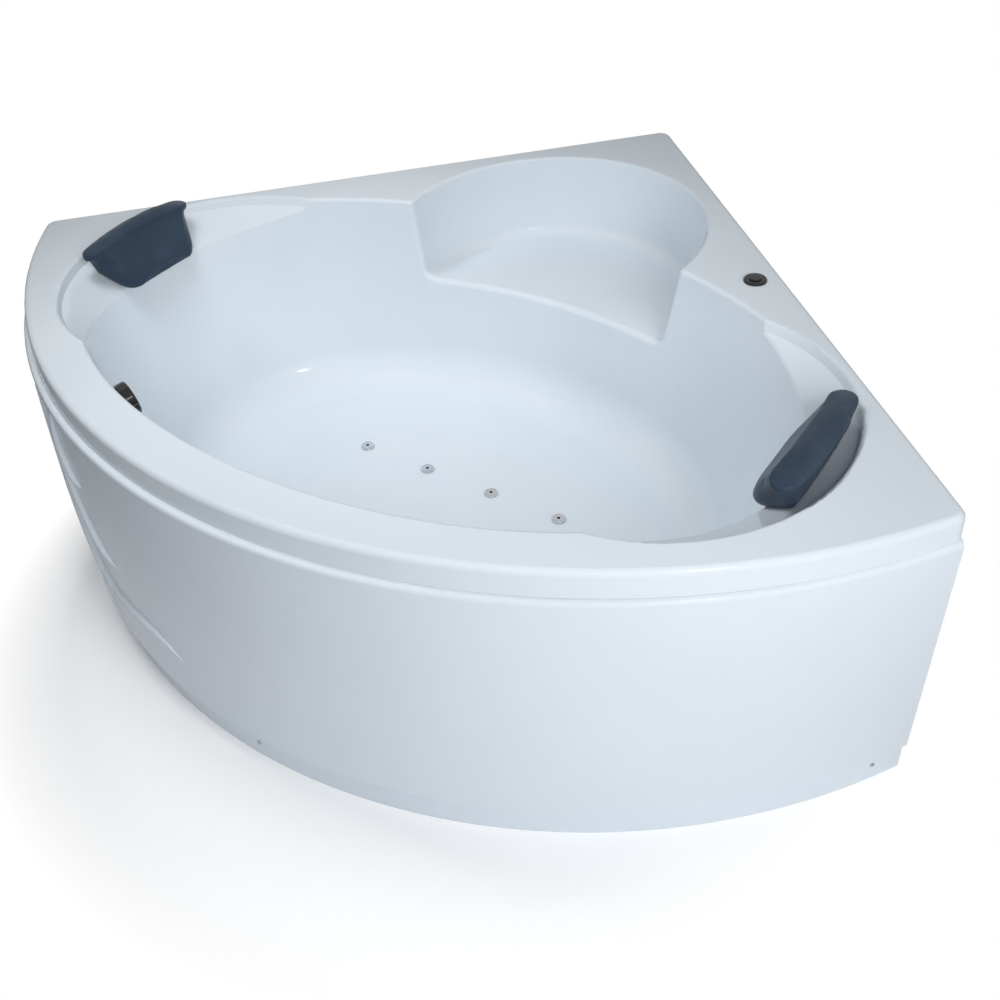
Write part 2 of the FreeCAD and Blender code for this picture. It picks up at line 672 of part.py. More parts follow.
def plinth_screws():
    """The screws through the plinth into the floor brackets."""
    screws = []
    for right in SCREW_RIGHTS:
        face, out = screw_frame(right)
        head = domed(face, SCREW_HEAD_RADIUS, SCREW_HEAD_HEIGHT, SCREW_HEAD_HEIGHT * 0.6, out)
        slot = Part.makeBox(8, 1.0, 1.0, Vector(-4, -0.5, -0.5))
        turn = FreeCAD.Rotation(UP, out)
        for angle in (0, 90):
            cross = slot.copy()
            way = turn * FreeCAD.Rotation(UP, angle)
            cross.Placement = FreeCAD.Placement(face + out * SCREW_HEAD_HEIGHT, way)
            head = head.cut(cross)
        screws.append(head.fuse(disc(face, SCREW_RADIUS, SCREW_LENGTH, out * -1)))
    return Part.makeCompound(screws)


def floor_bracket(right):
    """An angle bracket that stands on the floor behind the plinth and takes a screw."""
    face, out = screw_frame(right)
    half, front = BRACKET_WIDTH / 2, PANEL_SHEET + BRACKET_GAP
    upright = Part.makeBox(BRACKET_WIDTH, BRACKET_SHEET, BRACKET_HEIGHT, Vector(-half, front, 0))
    foot = Part.makeBox(BRACKET_WIDTH, BRACKET_FOOT, BRACKET_SHEET, Vector(-half, front, 0))
    body = upright.fuse(foot)
    body = body.cut(disc(Vector(0, 0, SCREW_HEIGHT), SCREW_RADIUS, BRACKET_FOOT, Vector(0, 1, 0)))
    for side in (-1, 1):
        hole = Vector(side * BRACKET_WIDTH / 4, BRACKET_FOOT * 0.65, -1)
        body = body.cut(disc(hole, BRACKET_HOLE_RADIUS, BRACKET_SHEET + 2))
    body.Placement = FreeCAD.Placement(Vector(face.x, face.y, 0), FreeCAD.Rotation(Vector(0, -1, 0), out))
    return body


def plinth_brackets():
    """The brackets behind all the screws."""
    return Part.makeCompound([floor_bracket(right) for right in SCREW_RIGHTS])


# ---- headrests ----------------------------------------------------------------------------
def rounded_block_wire(front, rear, half_width, radius, up):
    """A rounded rectangle in plan, from front to rear and to both sides of the pillow's middle."""
    lo, hi = PILLOW_FORWARD - half_width, PILLOW_FORWARD + half_width
    cut = radius * (1 - 1 / ROOT2)
    a = [point(front + radius, lo, up), point(front + cut, lo + cut, up), point(front, lo + radius, up)]
    b = [point(front, hi - radius, up), point(front + cut, hi - cut, up), point(front + radius, hi, up)]
    c = [point(rear, hi, up), point(rear, lo, up)]
    edges = [Part.Arc(*a).toShape(), Part.LineSegment(a[2], b[0]).toShape(), Part.Arc(*b).toShape(),
             Part.LineSegment(b[2], c[0]).toShape(), Part.LineSegment(c[0], c[1]).toShape(),
             Part.LineSegment(c[1], a[0]).toShape()]
    return Part.Wire(edges)


def pillow_pad():
    """The right headrest's top pad: crowned, waisted for the neck, with rounded edges."""
    top, foot = RIM_HEIGHT + PILLOW_RISE, RIM_HEIGHT + PILLOW_RISE - PILLOW_CROWN - PILLOW_LIP
    lo, hi = PILLOW_FORWARD - PILLOW_HALF_WIDTH, PILLOW_FORWARD + PILLOW_HALF_WIDTH
    near, far = PILLOW_FRONT - 20, PILLOW_REAR + 20

    def band(up, crown):
        ends = point(near, lo, up - crown), point(near, hi, up - crown)
        return Part.Arc(ends[0], point(near, PILLOW_FORWARD, up), ends[1])

    upper, lower = band(top, PILLOW_CROWN), band(foot + PILLOW_CROWN * 0.3, PILLOW_CROWN * 0.3)
    sides = [Part.LineSegment(upper.EndPoint, lower.EndPoint),
             Part.LineSegment(lower.StartPoint, upper.StartPoint)]
    profile = Part.Wire(Part.__sortEdges__([curve.toShape() for curve in [upper, lower] + sides]))
    slab = Part.Face(profile).extrude(Vector(far - near, 0, 0))
    round_end = 24.0
    back = PILLOW_REAR - PILLOW_REAR_BOW
    front = Part.Arc(point(PILLOW_FRONT, lo + round_end, foot),
                     point(PILLOW_FRONT + PILLOW_WAIST, PILLOW_FORWARD, foot),
                     point(PILLOW_FRONT, hi - round_end, foot))
    rear = Part.Arc(point(back, lo + round_end, foot), point(PILLOW_REAR, PILLOW_FORWARD, foot),
                    point(back, hi - round_end, foot))
    middle = (PILLOW_FRONT + back) / 2
    caps = [Part.Arc(front.StartPoint, point(middle, lo, foot), rear.StartPoint),
            Part.Arc(front.EndPoint, point(middle, hi, foot), rear.EndPoint)]
    plan = Part.Wire(Part.__sortEdges__([curve.toShape() for curve in [front, rear] + caps]))
    deep = 60.0
    column = Part.Face(plan).extrude(Vector(0, 0, 2 * deep))
    column.translate(Vector(0, 0, -deep))
    pad = slab.common(column)
    return pad.makeFillet(PILLOW_EDGE_RADIUS, pad.Edges)


def pillow_body():
    """The right headrest's body, which hangs down the wall of the well and narrows."""
    top = RIM_HEIGHT + PILLOW_RISE - PILLOW_CROWN - PILLOW_LIP / 2
    foot = RIM_HEIGHT - PILLOW_DROP
    stations = ((0.0, 0.9, 26.0), (0.12, 0.97, 34.0), (0.35, 1.0, 34.0), (0.65, 1.0, 30.0), (1.0, 1.0, 24.0))
    wires = []
    for share, fullness, radius in stations:
        up = foot + (top - foot) * share
        half = PILLOW_FOOT_HALF_WIDTH + (PILLOW_NECK_HALF_WIDTH - PILLOW_FOOT_HALF_WIDTH) * share
        front = PILLOW_FRONT + 3 - PILLOW_FACE_TRAVEL * (1 - share) + (1 - fullness) * 90
        rear = PILLOW_REAR - PILLOW_REAR_BOW - 6
        wires.append(rounded_block_wire(front, rear, half * fullness, radius, up))
    return Part.makeLoft(wires, True, False)


def pillows(sheet):
    """Both headrests, moulded to the sheet that they rest on."""
    right = pillow_pad().fuse(pillow_body())
    left = right.mirror(Vector(0, 0, 0), Vector(1, 0, 0))
    found = []
    for side, whole in ((-1, left), (1, right)):
        rest = max(whole.cut(sheet).Solids, key=lambda solid: solid.CenterOfMass.z)
        for place in [spot for spot in pillow_pin_places() if spot[0] * side > 0]:
            rest = rest.cut(pin_socket(place))
        found.append(rest)
    return found


def ledge_height(place):
    """Height of a head recess's cone under a place."""
    radius = math.hypot(abs(place[0]) - SCOOP_RIGHT, place[1] - WELL_FORWARD)
    return RIM_HEIGHT - SCOOP_STEP - (SCOOP_RADIUS - SCOOP_STEP_DRAFT - radius) * math.tan(SCOOP_SLOPE)


def pin_socket(place):
    """The hole for a pin in the underside of a headrest, with room for the pin's head."""
    up = ledge_height(place)
    reach = PIN_SOCKET_DEPTH + PIN_CLEARANCE
    stem = disc(point(*place, up - reach), PIN_RADIUS + PIN_CLEARANCE, 2 * reach)
    head = disc(point(*place, up + PIN_SOCKET_DEPTH - PIN_HEAD_HEIGHT - PIN_CLEARANCE),
                PIN_HEAD_RADIUS + PIN_CLEARANCE, PIN_HEAD_HEIGHT + 2 * PIN_CLEARANCE)
    return stem.fuse(head)


def pillow_pins():
    """The barbed pins that hold the headrests on the shell."""
    pins = []
    for place in pillow_pin_places():
        up = ledge_height(place)
        foot = up - ACRYLIC / math.cos(SCOOP_SLOPE) - PIN_TAIL
        stem = disc(point(*place, foot), PIN_RADIUS, up + PIN_SOCKET_DEPTH - foot)
        head = disc(point(*place, up + PIN_SOCKET_DEPTH - PIN_HEAD_HEIGHT), PIN_HEAD_RADIUS, PIN_HEAD_HEIGHT)
        tip = point(*place, foot - PIN_TAIL / 2)
        tail = Part.makeCone(PIN_RADIUS * 0.5, PIN_RADIUS, PIN_TAIL / 2, tip, UP)
        pins.append(stem.fuse([head, tail]))
    return Part.makeCompound(pins)


# ---- air switch ---------------------------------------------------------------------------
def button_bezel():
    """The switch's dished bezel and threaded body, dropped through the deck."""
    top = point(*BUTTON_PLACE, RIM_HEIGHT)
    flange = domed(top, BUTTON_BEZEL_RADIUS, BUTTON_BEZEL_HEIGHT, BUTTON_BEZEL_HEIGHT * 0.7)
    body = disc(top - UP * BUTTON_BODY_LENGTH, BUTTON_BODY_RADIUS, BUTTON_BODY_LENGTH)
    bore = BUTTON_CAP_RADIUS + BUTTON_CAP_GAP
    return flange.fuse(body).cut(disc(top - UP * (BUTTON_BODY_LENGTH + 1), bore, BUTTON_BODY_LENGTH * 2))


def button_cap():
    """The part that is pressed, with its skirt inside the bezel."""
    rise = BUTTON_BEZEL_HEIGHT + BUTTON_CAP_RISE
    foot = point(*BUTTON_PLACE, RIM_HEIGHT - rise)
    return domed(foot, BUTTON_CAP_RADIUS, 2 * rise, BUTTON_CAP_RISE * 0.8)


def button_bellows():
    """The rubber bellows under the cap, closed by its base in the switch's body."""
    rise = BUTTON_BEZEL_HEIGHT + BUTTON_CAP_RISE
    top = RIM_HEIGHT - rise - BUTTON_TRAVEL - BUTTON_CAP_GAP
    base = point(*BUTTON_PLACE, top - BELLOWS_LENGTH)
    radius = BUTTON_CAP_RADIUS + BUTTON_CAP_GAP
    folds = disc(base, radius, 4)
    for step in range(3):
        low = base + UP * (4 + step * 7)
        folds = folds.fuse(Part.makeCone(radius - 1, radius - 4, 3.5, low, UP))
        folds = folds.fuse(Part.makeCone(radius - 4, radius - 1, 3.5, low + UP * 3.5, UP))
    return folds.fuse(disc(base - UP * 12, AIR_TUBE_RADIUS + 1.5, 12))


def button_nut():
    """The nut that clamps the switch to the deck."""
    top = point(*BUTTON_PLACE, DECK_UNDER - BUTTON_NUT_HEIGHT)
    return ring(top, BUTTON_NUT_RADIUS, BUTTON_BODY_RADIUS, BUTTON_NUT_HEIGHT)


def button_tube_start():
    """Where the thin air tube leaves the bellows."""
    rise = BUTTON_BEZEL_HEIGHT + BUTTON_CAP_RISE
    up = RIM_HEIGHT - rise - BUTTON_TRAVEL - BUTTON_CAP_GAP - BELLOWS_LENGTH - 12
    return point(*BUTTON_PLACE, up)


def control_box_origin():
    """The control box's low corner, against the right face of the seat post."""
    return RAIL / 2, SEAT_POST_FORWARD - CONTROL_BOX[1] / 2


def control_box():
    """The sealed box with the air switch and the blower's speed control."""
    right, back = control_box_origin()
    low = point(right, back + CONTROL_BOX[1], CONTROL_BOX_FOOT)
    box = Part.makeBox(*CONTROL_BOX, low)
    uprights = [edge for edge in box.Edges if edge.BoundBox.ZLength > CONTROL_BOX[2] - 1]
    return box.makeFillet(6.0, uprights)


def button_tube():
    """The thin air tube from the switch to the control box."""
    start = button_tube_start()
    right, back = control_box_origin()
    level = CONTROL_BOX_FOOT + CONTROL_BOX[2] * 0.75
    end = point(right + CONTROL_BOX[0], SEAT_POST_FORWARD, level)
    corners = [start, Vector(start.x, start.y, level), Vector(end.x + 60, end.y, level), end]
    return tube(corners, 25.0, AIR_TUBE_RADIUS)


# ---- air jets -----------------------------------------------------------------------------
def air_jet(right):
    """A jet: its domed face in the well, and its threaded body down into the manifold."""
    base = point(right, JET_FORWARD, FLOOR_TOP)
    face = domed(base, JET_FACE_RADIUS, JET_FACE_HEIGHT, JET_FACE_HEIGHT * 0.7)
    groove = JET_FACE_RADIUS * 0.62
    face = face.cut(ring(base + UP * (JET_FACE_HEIGHT - 0.8), groove + 1.2, groove, 2))
    foot = point(right, JET_FORWARD, JET_BODY_FOOT)
    jet = face.fuse(disc(foot, JET_BODY_RADIUS, FLOOR_TOP - JET_BODY_FOOT))
    return jet.cut(disc(foot - UP, JET_NOZZLE_RADIUS, FLOOR_TOP + JET_FACE_HEIGHT - JET_BODY_FOOT + 2))


def jet_nuts():
    """The nuts that clamp the jets to the shell's floor."""
    low = FLOOR_UNDER - JET_NUT_HEIGHT
    feet = [point(right, JET_FORWARD, low) for right in JET_RIGHTS]
    return Part.makeCompound([ring(foot, JET_NUT_RADIUS, JET_BODY_RADIUS, JET_NUT_HEIGHT) for foot in feet])


def air_manifold():
    """The pipe under the floor that feeds the four jets."""
    across = Vector(1, 0, 0)
    start = point(-MANIFOLD_END, JET_FORWARD, MANIFOLD_HEIGHT)
    length = MANIFOLD_END + JET_RIGHTS[-1] + MANIFOLD_SOCKET_RADIUS + 8
    pipe = disc(start, MANIFOLD_RADIUS, length, across)
    rise = MANIFOLD_SOCKET_TOP - MANIFOLD_HEIGHT
    for right in JET_RIGHTS:
        pipe = pipe.fuse(disc(point(right, JET_FORWARD, MANIFOLD_HEIGHT), MANIFOLD_SOCKET_RADIUS, rise))
    pipe = pipe.cut(disc(start - across, MANIFOLD_RADIUS - MANIFOLD_WALL, length - MANIFOLD_WALL, across))
    for right in JET_RIGHTS:
        seat = point(right, JET_FORWARD, JET_BODY_FOOT)
        pipe = pipe.cut(disc(seat, JET_BODY_RADIUS, rise))
        foot = point(right, JET_FORWARD, MANIFOLD_HEIGHT)
        pipe = pipe.cut(disc(foot, JET_BODY_RADIUS - MANIFOLD_WALL, rise))
    return pipe


# ---- blower -------------------------------------------------------------------------------
def blower_level(over=0.0):
    """A point on the blower's axis, over the foot of its case."""
    return point(*BLOWER_PLACE, BOARD_UNDER + TRAY_SHEET + BLOWER_FEET_HEIGHT + over)


def blower_tray():
    """The sheet steel tray that carries the blower, on the spine and the rear rail."""
    right_edge, front_edge = RAIL / 2, REAR_RAIL_FORWARD + RAIL / 2
    size = (right_edge - TRAY_LEFT, front_edge - TRAY_BACK, TRAY_SHEET)
    return Part.makeBox(*size, point(TRAY_LEFT, front_edge, BOARD_UNDER))


def blower_feet():
    """The rubber feet between the blower and its tray."""
    feet = []
    for turn in (30, 150, 270):
        angle = math.radians(turn)
        place = (BLOWER_PLACE[0] + 75 * math.cos(angle), BLOWER_PLACE[1] + 75 * math.sin(angle))
        feet.append(disc(point(*place, BOARD_UNDER + TRAY_SHEET), 12, BLOWER_FEET_HEIGHT))
    return Part.makeCompound(feet)


def blower_case():
    """The lower half of the blower's case, with its outlet."""
    left = Vector(-1, 0, 0)
    outlet = blower_level(OUTLET_RISE)
    reach = BLOWER_RADIUS + 10
    spout = disc(outlet, OUTLET_RADIUS, reach, left)
    body = disc(blower_level(), BLOWER_RADIUS, BLOWER_CASE_HEIGHT).fuse(spout)
    body = body.cut(disc(blower_level(BLOWER_WALL), BLOWER_RADIUS - BLOWER_WALL, BLOWER_CASE_HEIGHT))
    return body.cut(disc(outlet, OUTLET_RADIUS - BLOWER_WALL, reach + 1, left))


def blower_cover():
    """The cover of the case, with the hole for the shaft and the air inlets round the motor."""
    base = blower_level(BLOWER_CASE_HEIGHT)
    cover = ring(base, BLOWER_RADIUS, SHAFT_RADIUS + 2, BLOWER_COVER_HEIGHT)
    inlets = 6
    for number in range(inlets):
        angle = 2 * math.pi * number / inlets
        spot = base + Vector(math.cos(angle), math.sin(angle), 0) * (BLOWER_RADIUS + MOTOR_RADIUS) * 0.5
        cover = cover.cut(disc(spot - UP, 9, BLOWER_COVER_HEIGHT + 2))
    return cover


def blower_motor():
    """The motor on the cover, with the bore for its shaft."""
    base = blower_level(BLOWER_CASE_HEIGHT + BLOWER_COVER_HEIGHT)
    body = domed(base, MOTOR_RADIUS, MOTOR_HEIGHT, 8)
    return body.cut(disc(base - UP, SHAFT_RADIUS + SHAFT_CLEARANCE, MOTOR_HEIGHT * 0.7 + 1))


def motor_cap():
    """The splash cap over the motor."""
    base = blower_level(BLOWER_CASE_HEIGHT + BLOWER_COVER_HEIGHT + MOTOR_HEIGHT)
    return domed(base, MOTOR_RADIUS * 0.75, MOTOR_CAP_HEIGHT, 5)


def blower_impeller():
    """The impeller and the shaft that it turns on."""
    base = blower_level(BLOWER_WALL + IMPELLER_SEAT)
    wheel = disc(base, IMPELLER_RADIUS, 3).fuse(disc(base, 16, IMPELLER_HEIGHT))
    for number in range(IMPELLER_BLADES):
        blade = Part.makeBox(IMPELLER_RADIUS - 18, 2.5, IMPELLER_HEIGHT, Vector(15, -1.25, 0))
        blade.rotate(Vector(0, 0, 0), UP, 360.0 * number / IMPELLER_BLADES)
        blade.translate(base)
        wheel = wheel.fuse(blade)
    shaft_top = BLOWER_CASE_HEIGHT + BLOWER_COVER_HEIGHT + MOTOR_HEIGHT * 0.7 - 2
    return wheel.fuse(disc(base, SHAFT_RADIUS, shaft_top - BLOWER_WALL - IMPELLER_SEAT))


def check_valve():
    """The non-return valve on the blower's outlet."""
    left = Vector(-1, 0, 0)
    start = blower_level(OUTLET_RISE) + left * (BLOWER_RADIUS + 10)
    return ring(start, CHECK_VALVE_RADIUS, OUTLET_RADIUS - BLOWER_WALL, CHECK_VALVE_LENGTH, left)


def air_hose():
    """The hose from the non-return valve down to the manifold's end."""
    start = blower_level(OUTLET_RISE) - Vector(BLOWER_RADIUS + 10 + CHECK_VALVE_LENGTH, 0, 0)
    end = point(-MANIFOLD_END, JET_FORWARD, MANIFOLD_HEIGHT)
    corners = [start, Vector(HOSE_RIGHT, start.y, start.z), Vector(HOSE_RIGHT, start.y, end.z),
               Vector(HOSE_RIGHT, end.y, end.z), end]
    return tube(corners, HOSE_BEND, HOSE_RADIUS, HOSE_RADIUS - HOSE_WALL)


# ---- waste and overflow -------------------------------------------------------------------
def pipe_places():
    """The overflow pipe's and the drain's axes, and the directions between them."""
    spot, inward = overflow_frame()
    level = Vector(inward.x, inward.y, 0).normalize()
    overflow = spot - level * (ACRYLIC + OVERFLOW_PIPE_SETBACK)
    drain = point(*DRAIN_PLACE, WASTE_HEIGHT)
    along = Vector(overflow.x - drain.x, overflow.y - drain.y, 0)
    reach = along.Length
    along.normalize()
    return Vector(overflow.x, overflow.y, WASTE_HEIGHT), drain, along, Vector(-along.y, along.x, 0), reach


def drain_flange():
    """The chromed ring in the well's floor and its threaded tube."""
    flange = domed(point(*DRAIN_PLACE, FLOOR_TOP), DRAIN_FLANGE_RADIUS, DRAIN_FLANGE_HEIGHT, 1.5)
    tail = disc(point(*DRAIN_PLACE, DRAIN_TUBE_FOOT), DRAIN_TUBE_RADIUS, FLOOR_TOP - DRAIN_TUBE_FOOT)
    bore = disc(point(*DRAIN_PLACE, DRAIN_TUBE_FOOT - 1), DRAIN_TUBE_RADIUS - DRAIN_TUBE_WALL, 100)
    body = flange.fuse(tail).cut(bore)
    guide = SHAFT_CLEARANCE + PLUG_STEM_RADIUS
    spider = ring(point(*DRAIN_PLACE, DRAIN_TUBE_FOOT), guide + 3, guide, 8)
    for turn in (0, 60, 120):
        bar = Part.makeBox(2 * DRAIN_TUBE_RADIUS - 2, 3, 8, Vector(1 - DRAIN_TUBE_RADIUS, -1.5, 0))
        bar.rotate(Vector(0, 0, 0), UP, turn)
        bar.translate(point(*DRAIN_PLACE, DRAIN_TUBE_FOOT))
        spider = spider.fuse(bar)
    return body.fuse(spider).cut(disc(point(*DRAIN_PLACE, DRAIN_TUBE_FOOT - 1), guide, 20))


def drain_plug():
    """The plug that lifts off the drain, with its stem."""
    seat = FLOOR_TOP + DRAIN_FLANGE_HEIGHT + PLUG_SEAT_GAP
    cap = domed(point(*DRAIN_PLACE, seat), PLUG_RADIUS, PLUG_HEIGHT, PLUG_HEIGHT * 0.7)
    return cap.fuse(disc(point(*DRAIN_PLACE, seat - PLUG_STEM_LENGTH), PLUG_STEM_RADIUS, PLUG_STEM_LENGTH))


def drain_gasket():
    """The rubber ring under the well's floor."""
    low = point(*DRAIN_PLACE, FLOOR_UNDER - DRAIN_GASKET_HEIGHT)
    return ring(low, DRAIN_BODY_RADIUS, DRAIN_TUBE_RADIUS, DRAIN_GASKET_HEIGHT)


def drain_body():
    """The drain's body under the floor, with the branch for the overflow pipe."""
    top = FLOOR_UNDER - DRAIN_GASKET_HEIGHT
    overflow, drain, along, across, reach = pipe_places()
    body = disc(point(*DRAIN_PLACE, DRAIN_BODY_FOOT), DRAIN_BODY_RADIUS, top - DRAIN_BODY_FOOT)
    branch = disc(drain, PIPE_RADIUS + SOCKET_WALL, DRAIN_BODY_RADIUS + 30, along)
    lug = disc(drain + across * CABLE_SIDE, CABLE_LUG_RADIUS, DRAIN_BODY_RADIUS, along)
    body = body.fuse([branch, lug])
    body = body.cut(disc(point(*DRAIN_PLACE, DRAIN_TUBE_FOOT), DRAIN_TUBE_RADIUS, 100))
    inside = DRAIN_BODY_RADIUS - DRAIN_BODY_WALL
    mouth = point(*DRAIN_PLACE, DRAIN_BODY_FOOT - 1)
    body = body.cut(disc(mouth, inside, DRAIN_TUBE_FOOT - DRAIN_BODY_FOOT + 1))
    return body.cut(disc(drain + along * (DRAIN_BODY_RADIUS + 2), PIPE_RADIUS, 100, along)).cut(
        disc(drain, PIPE_RADIUS - PIPE_WALL, 100, along))


def trap():
    """The low trap under the drain, with its outlet spigot."""
    base = point(*DRAIN_PLACE, TRAP_TOP - TRAP_HEIGHT)
    back = Vector(0, 1, 0)
    outlet = point(*DRAIN_PLACE, OUTLET_HEIGHT)
    body = disc(base, TRAP_RADIUS, TRAP_HEIGHT).fuse(disc(outlet, PIPE_RADIUS, OUTLET_REACH, back))
    body = body.fuse(disc(outlet, OUTLET_COLLAR_RADIUS, OUTLET_COLLAR_REACH, back))
    collar = disc(point(*DRAIN_PLACE, TRAP_TOP), DRAIN_BODY_RADIUS, DRAIN_BODY_FOOT - TRAP_TOP)
    body = body.fuse(collar)
    body = body.cut(disc(base + UP * TRAP_WALL, TRAP_RADIUS - TRAP_WALL, TRAP_HEIGHT - 2 * TRAP_WALL))
    body = body.cut(disc(base + UP * TRAP_WALL * 2, DRAIN_BODY_RADIUS - DRAIN_BODY_WALL, TRAP_HEIGHT))
    return body.cut(disc(outlet, PIPE_RADIUS - TRAP_WALL, OUTLET_REACH + 1, back))


def overflow_pipe():
    """The pipe from the overflow down to the drain's branch."""
    overflow, drain, along, across, reach = pipe_places()
    top = Vector(overflow.x, overflow.y, OVERFLOW_SOCKET_FOOT + 20)
    end = drain + along * (DRAIN_BODY_RADIUS + 2)
    return tube([top, overflow, end], 40.0, PIPE_RADIUS - PIPE_CLEARANCE, PIPE_RADIUS - PIPE_WALL)


def overflow_body():
    """The overflow's body behind the wall, its ring in front, and the knob's spindle."""
    spot, inward = overflow_frame()
    overflow, drain, along, across, reach = pipe_places()
    back = spot - inward * (ACRYLIC + OVERFLOW_GASKET)
    body = disc(back, OVERFLOW_BODY_RADIUS, OVERFLOW_BODY_LENGTH, inward * -1)
    body = body.fuse(disc(back, OVERFLOW_FLANGE_RADIUS, OVERFLOW_FLANGE_HEIGHT, inward * -1))
    socket_top = spot.z
    socket = disc(Vector(overflow.x, overflow.y, OVERFLOW_SOCKET_FOOT), PIPE_RADIUS + SOCKET_WALL,
                  socket_top - OVERFLOW_SOCKET_FOOT)
    lug = disc(Vector(overflow.x, overflow.y, OVERFLOW_SOCKET_FOOT) + across * CABLE_SIDE, CABLE_LUG_RADIUS,
               socket_top - OVERFLOW_SOCKET_FOOT - 20)
    body = body.fuse([socket, lug])
    bore, deep = OVERFLOW_BODY_RADIUS - SOCKET_WALL, OVERFLOW_BODY_LENGTH - SOCKET_WALL
    throat = disc(back + inward, bore, deep, inward * -1)
    body = body.cut(throat)
    body = body.cut(disc(Vector(overflow.x, overflow.y, OVERFLOW_SOCKET_FOOT - 1), PIPE_RADIUS, 22))
    body = body.cut(disc(Vector(overflow.x, overflow.y, OVERFLOW_SOCKET_FOOT), PIPE_RADIUS - PIPE_WALL,
                         socket_top - OVERFLOW_SOCKET_FOOT))
    neck_length = ACRYLIC + OVERFLOW_GASKET + OVERFLOW_RING_HEIGHT
    neck = ring(back, OVERFLOW_NECK_RADIUS, OVERFLOW_NECK_RADIUS - SOCKET_WALL, neck_length, inward)
    spindle_foot = spot - inward * (ACRYLIC + OVERFLOW_GASKET)
    spindle_length = ACRYLIC + OVERFLOW_GASKET + KNOB_STANDOFF + KNOB_LENGTH - 7
    spindle = disc(spindle_foot, SPINDLE_RADIUS, spindle_length, inward)
    turn = FreeCAD.Rotation(UP, inward)
    for angle in (0, 60, 120):
        bar = Part.makeBox(2 * OVERFLOW_NECK_RADIUS - 3, 3, 5, Vector(1.5 - OVERFLOW_NECK_RADIUS, -1.5, 0))
        bar.Placement = FreeCAD.Placement(spindle_foot, turn * FreeCAD.Rotation(UP, angle))
        spindle = spindle.fuse(bar)
    return body.fuse([neck, spindle])


def overflow_ring(shell):
    """The chromed ring that clamps the overflow's neck from inside the well."""
    spot, inward = overflow_frame()
    clamp = ring(spot - inward * ACRYLIC, OVERFLOW_RING_RADIUS, OVERFLOW_HOLE_RADIUS,
                 ACRYLIC + OVERFLOW_RING_HEIGHT, inward)
    return max(clamp.cut(shell).Solids, key=lambda solid: (solid.CenterOfMass - spot).dot(inward))


def overflow_gasket(shell):
    """The rubber ring behind the wall, pressed to its curve."""
    spot, inward = overflow_frame()
    back = spot - inward * (ACRYLIC + OVERFLOW_GASKET)
    soft = ring(back, OVERFLOW_FLANGE_RADIUS, OVERFLOW_HOLE_RADIUS, 2 * OVERFLOW_GASKET, inward)
    pieces = soft.cut(shell).Solids
    return min(pieces, key=lambda solid: (solid.CenterOfMass - back).Length)


def overflow_knob():
    """The knob over the overflow: a scalloped cup that turns on the spindle."""
    spot, inward = overflow_frame()
    base = spot + inward * KNOB_STANDOFF
    cup = domed(base, KNOB_RADIUS, KNOB_LENGTH, 5, inward)
    cup = cup.cut(disc(base - inward, KNOB_RADIUS - KNOB_WALL, KNOB_LENGTH - KNOB_WALL + 1, inward))
    hub = disc(base + inward * 4, KNOB_HUB_RADIUS, KNOB_LENGTH - 6, inward)
    cup = cup.fuse(hub)
    turn = FreeCAD.Rotation(UP, inward)
    for number in range(KNOB_SCALLOPS):
        angle = 2 * math.pi * (number + 0.5) / KNOB_SCALLOPS
        off = KNOB_RADIUS + KNOB_SCALLOP_RADIUS * 0.62
        spoke = turn.multVec(Vector(math.cos(angle) * off, math.sin(angle) * off, 0))
        cup = cup.cut(disc(base + spoke - inward, KNOB_SCALLOP_RADIUS, KNOB_LENGTH + 2, inward))
    bore = disc(base, SPINDLE_RADIUS + SPINDLE_CLEARANCE, KNOB_LENGTH - 6, inward)
    return cup.cut(bore)


def waste_cable():
    """The sheathed cable that carries the knob's turn to the plug."""
    overflow, drain, along, across, reach = pipe_places()
    side = across * CABLE_SIDE
    top = Vector(overflow.x, overflow.y, OVERFLOW_SOCKET_FOOT) + side
    end = drain + along * DRAIN_BODY_RADIUS + side
    return tube([top, overflow + side, end], CABLE_BEND, CABLE_RADIUS)


# ---- frame --------------------------------------------------------------------------------
def rail(start, end):
    """A square steel tube between two points, level or upright."""
    along = (end - start)
    length = along.Length
    half = RAIL / 2
    outer = Part.makeBox(RAIL, RAIL, length, Vector(-half, -half, 0))
    inner_half = half - RAIL_WALL
    inner = Part.makeBox(2 * inner_half, 2 * inner_half, length + 2, Vector(-inner_half, -inner_half, -1))
    body = outer.cut(inner)
    body.Placement = FreeCAD.Placement(start, FreeCAD.Rotation(UP, along))
    return body


def foot_places():
    """Where the levelling feet stand."""
    rear, front = REAR_RAIL_HALF - FOOT_INSET, FRONT_RAIL_HALF - FOOT_INSET
    spine = SPINE_BACK + FOOT_INSET
    return [(0.0, spine), (-rear, REAR_RAIL_FORWARD), (rear, REAR_RAIL_FORWARD),
            (-front, FRONT_RAIL_FORWARD), (0.0, FRONT_RAIL_FORWARD), (front, FRONT_RAIL_FORWARD)]


def drill_feet(body):
    """Cut the holes for the levelling studs through a rail."""
    for place in foot_places():
        body = body.cut(disc(point(*place, RAIL_UNDER - 1), STUD_RADIUS + STUD_CLEARANCE, RAIL + 2))
    return body


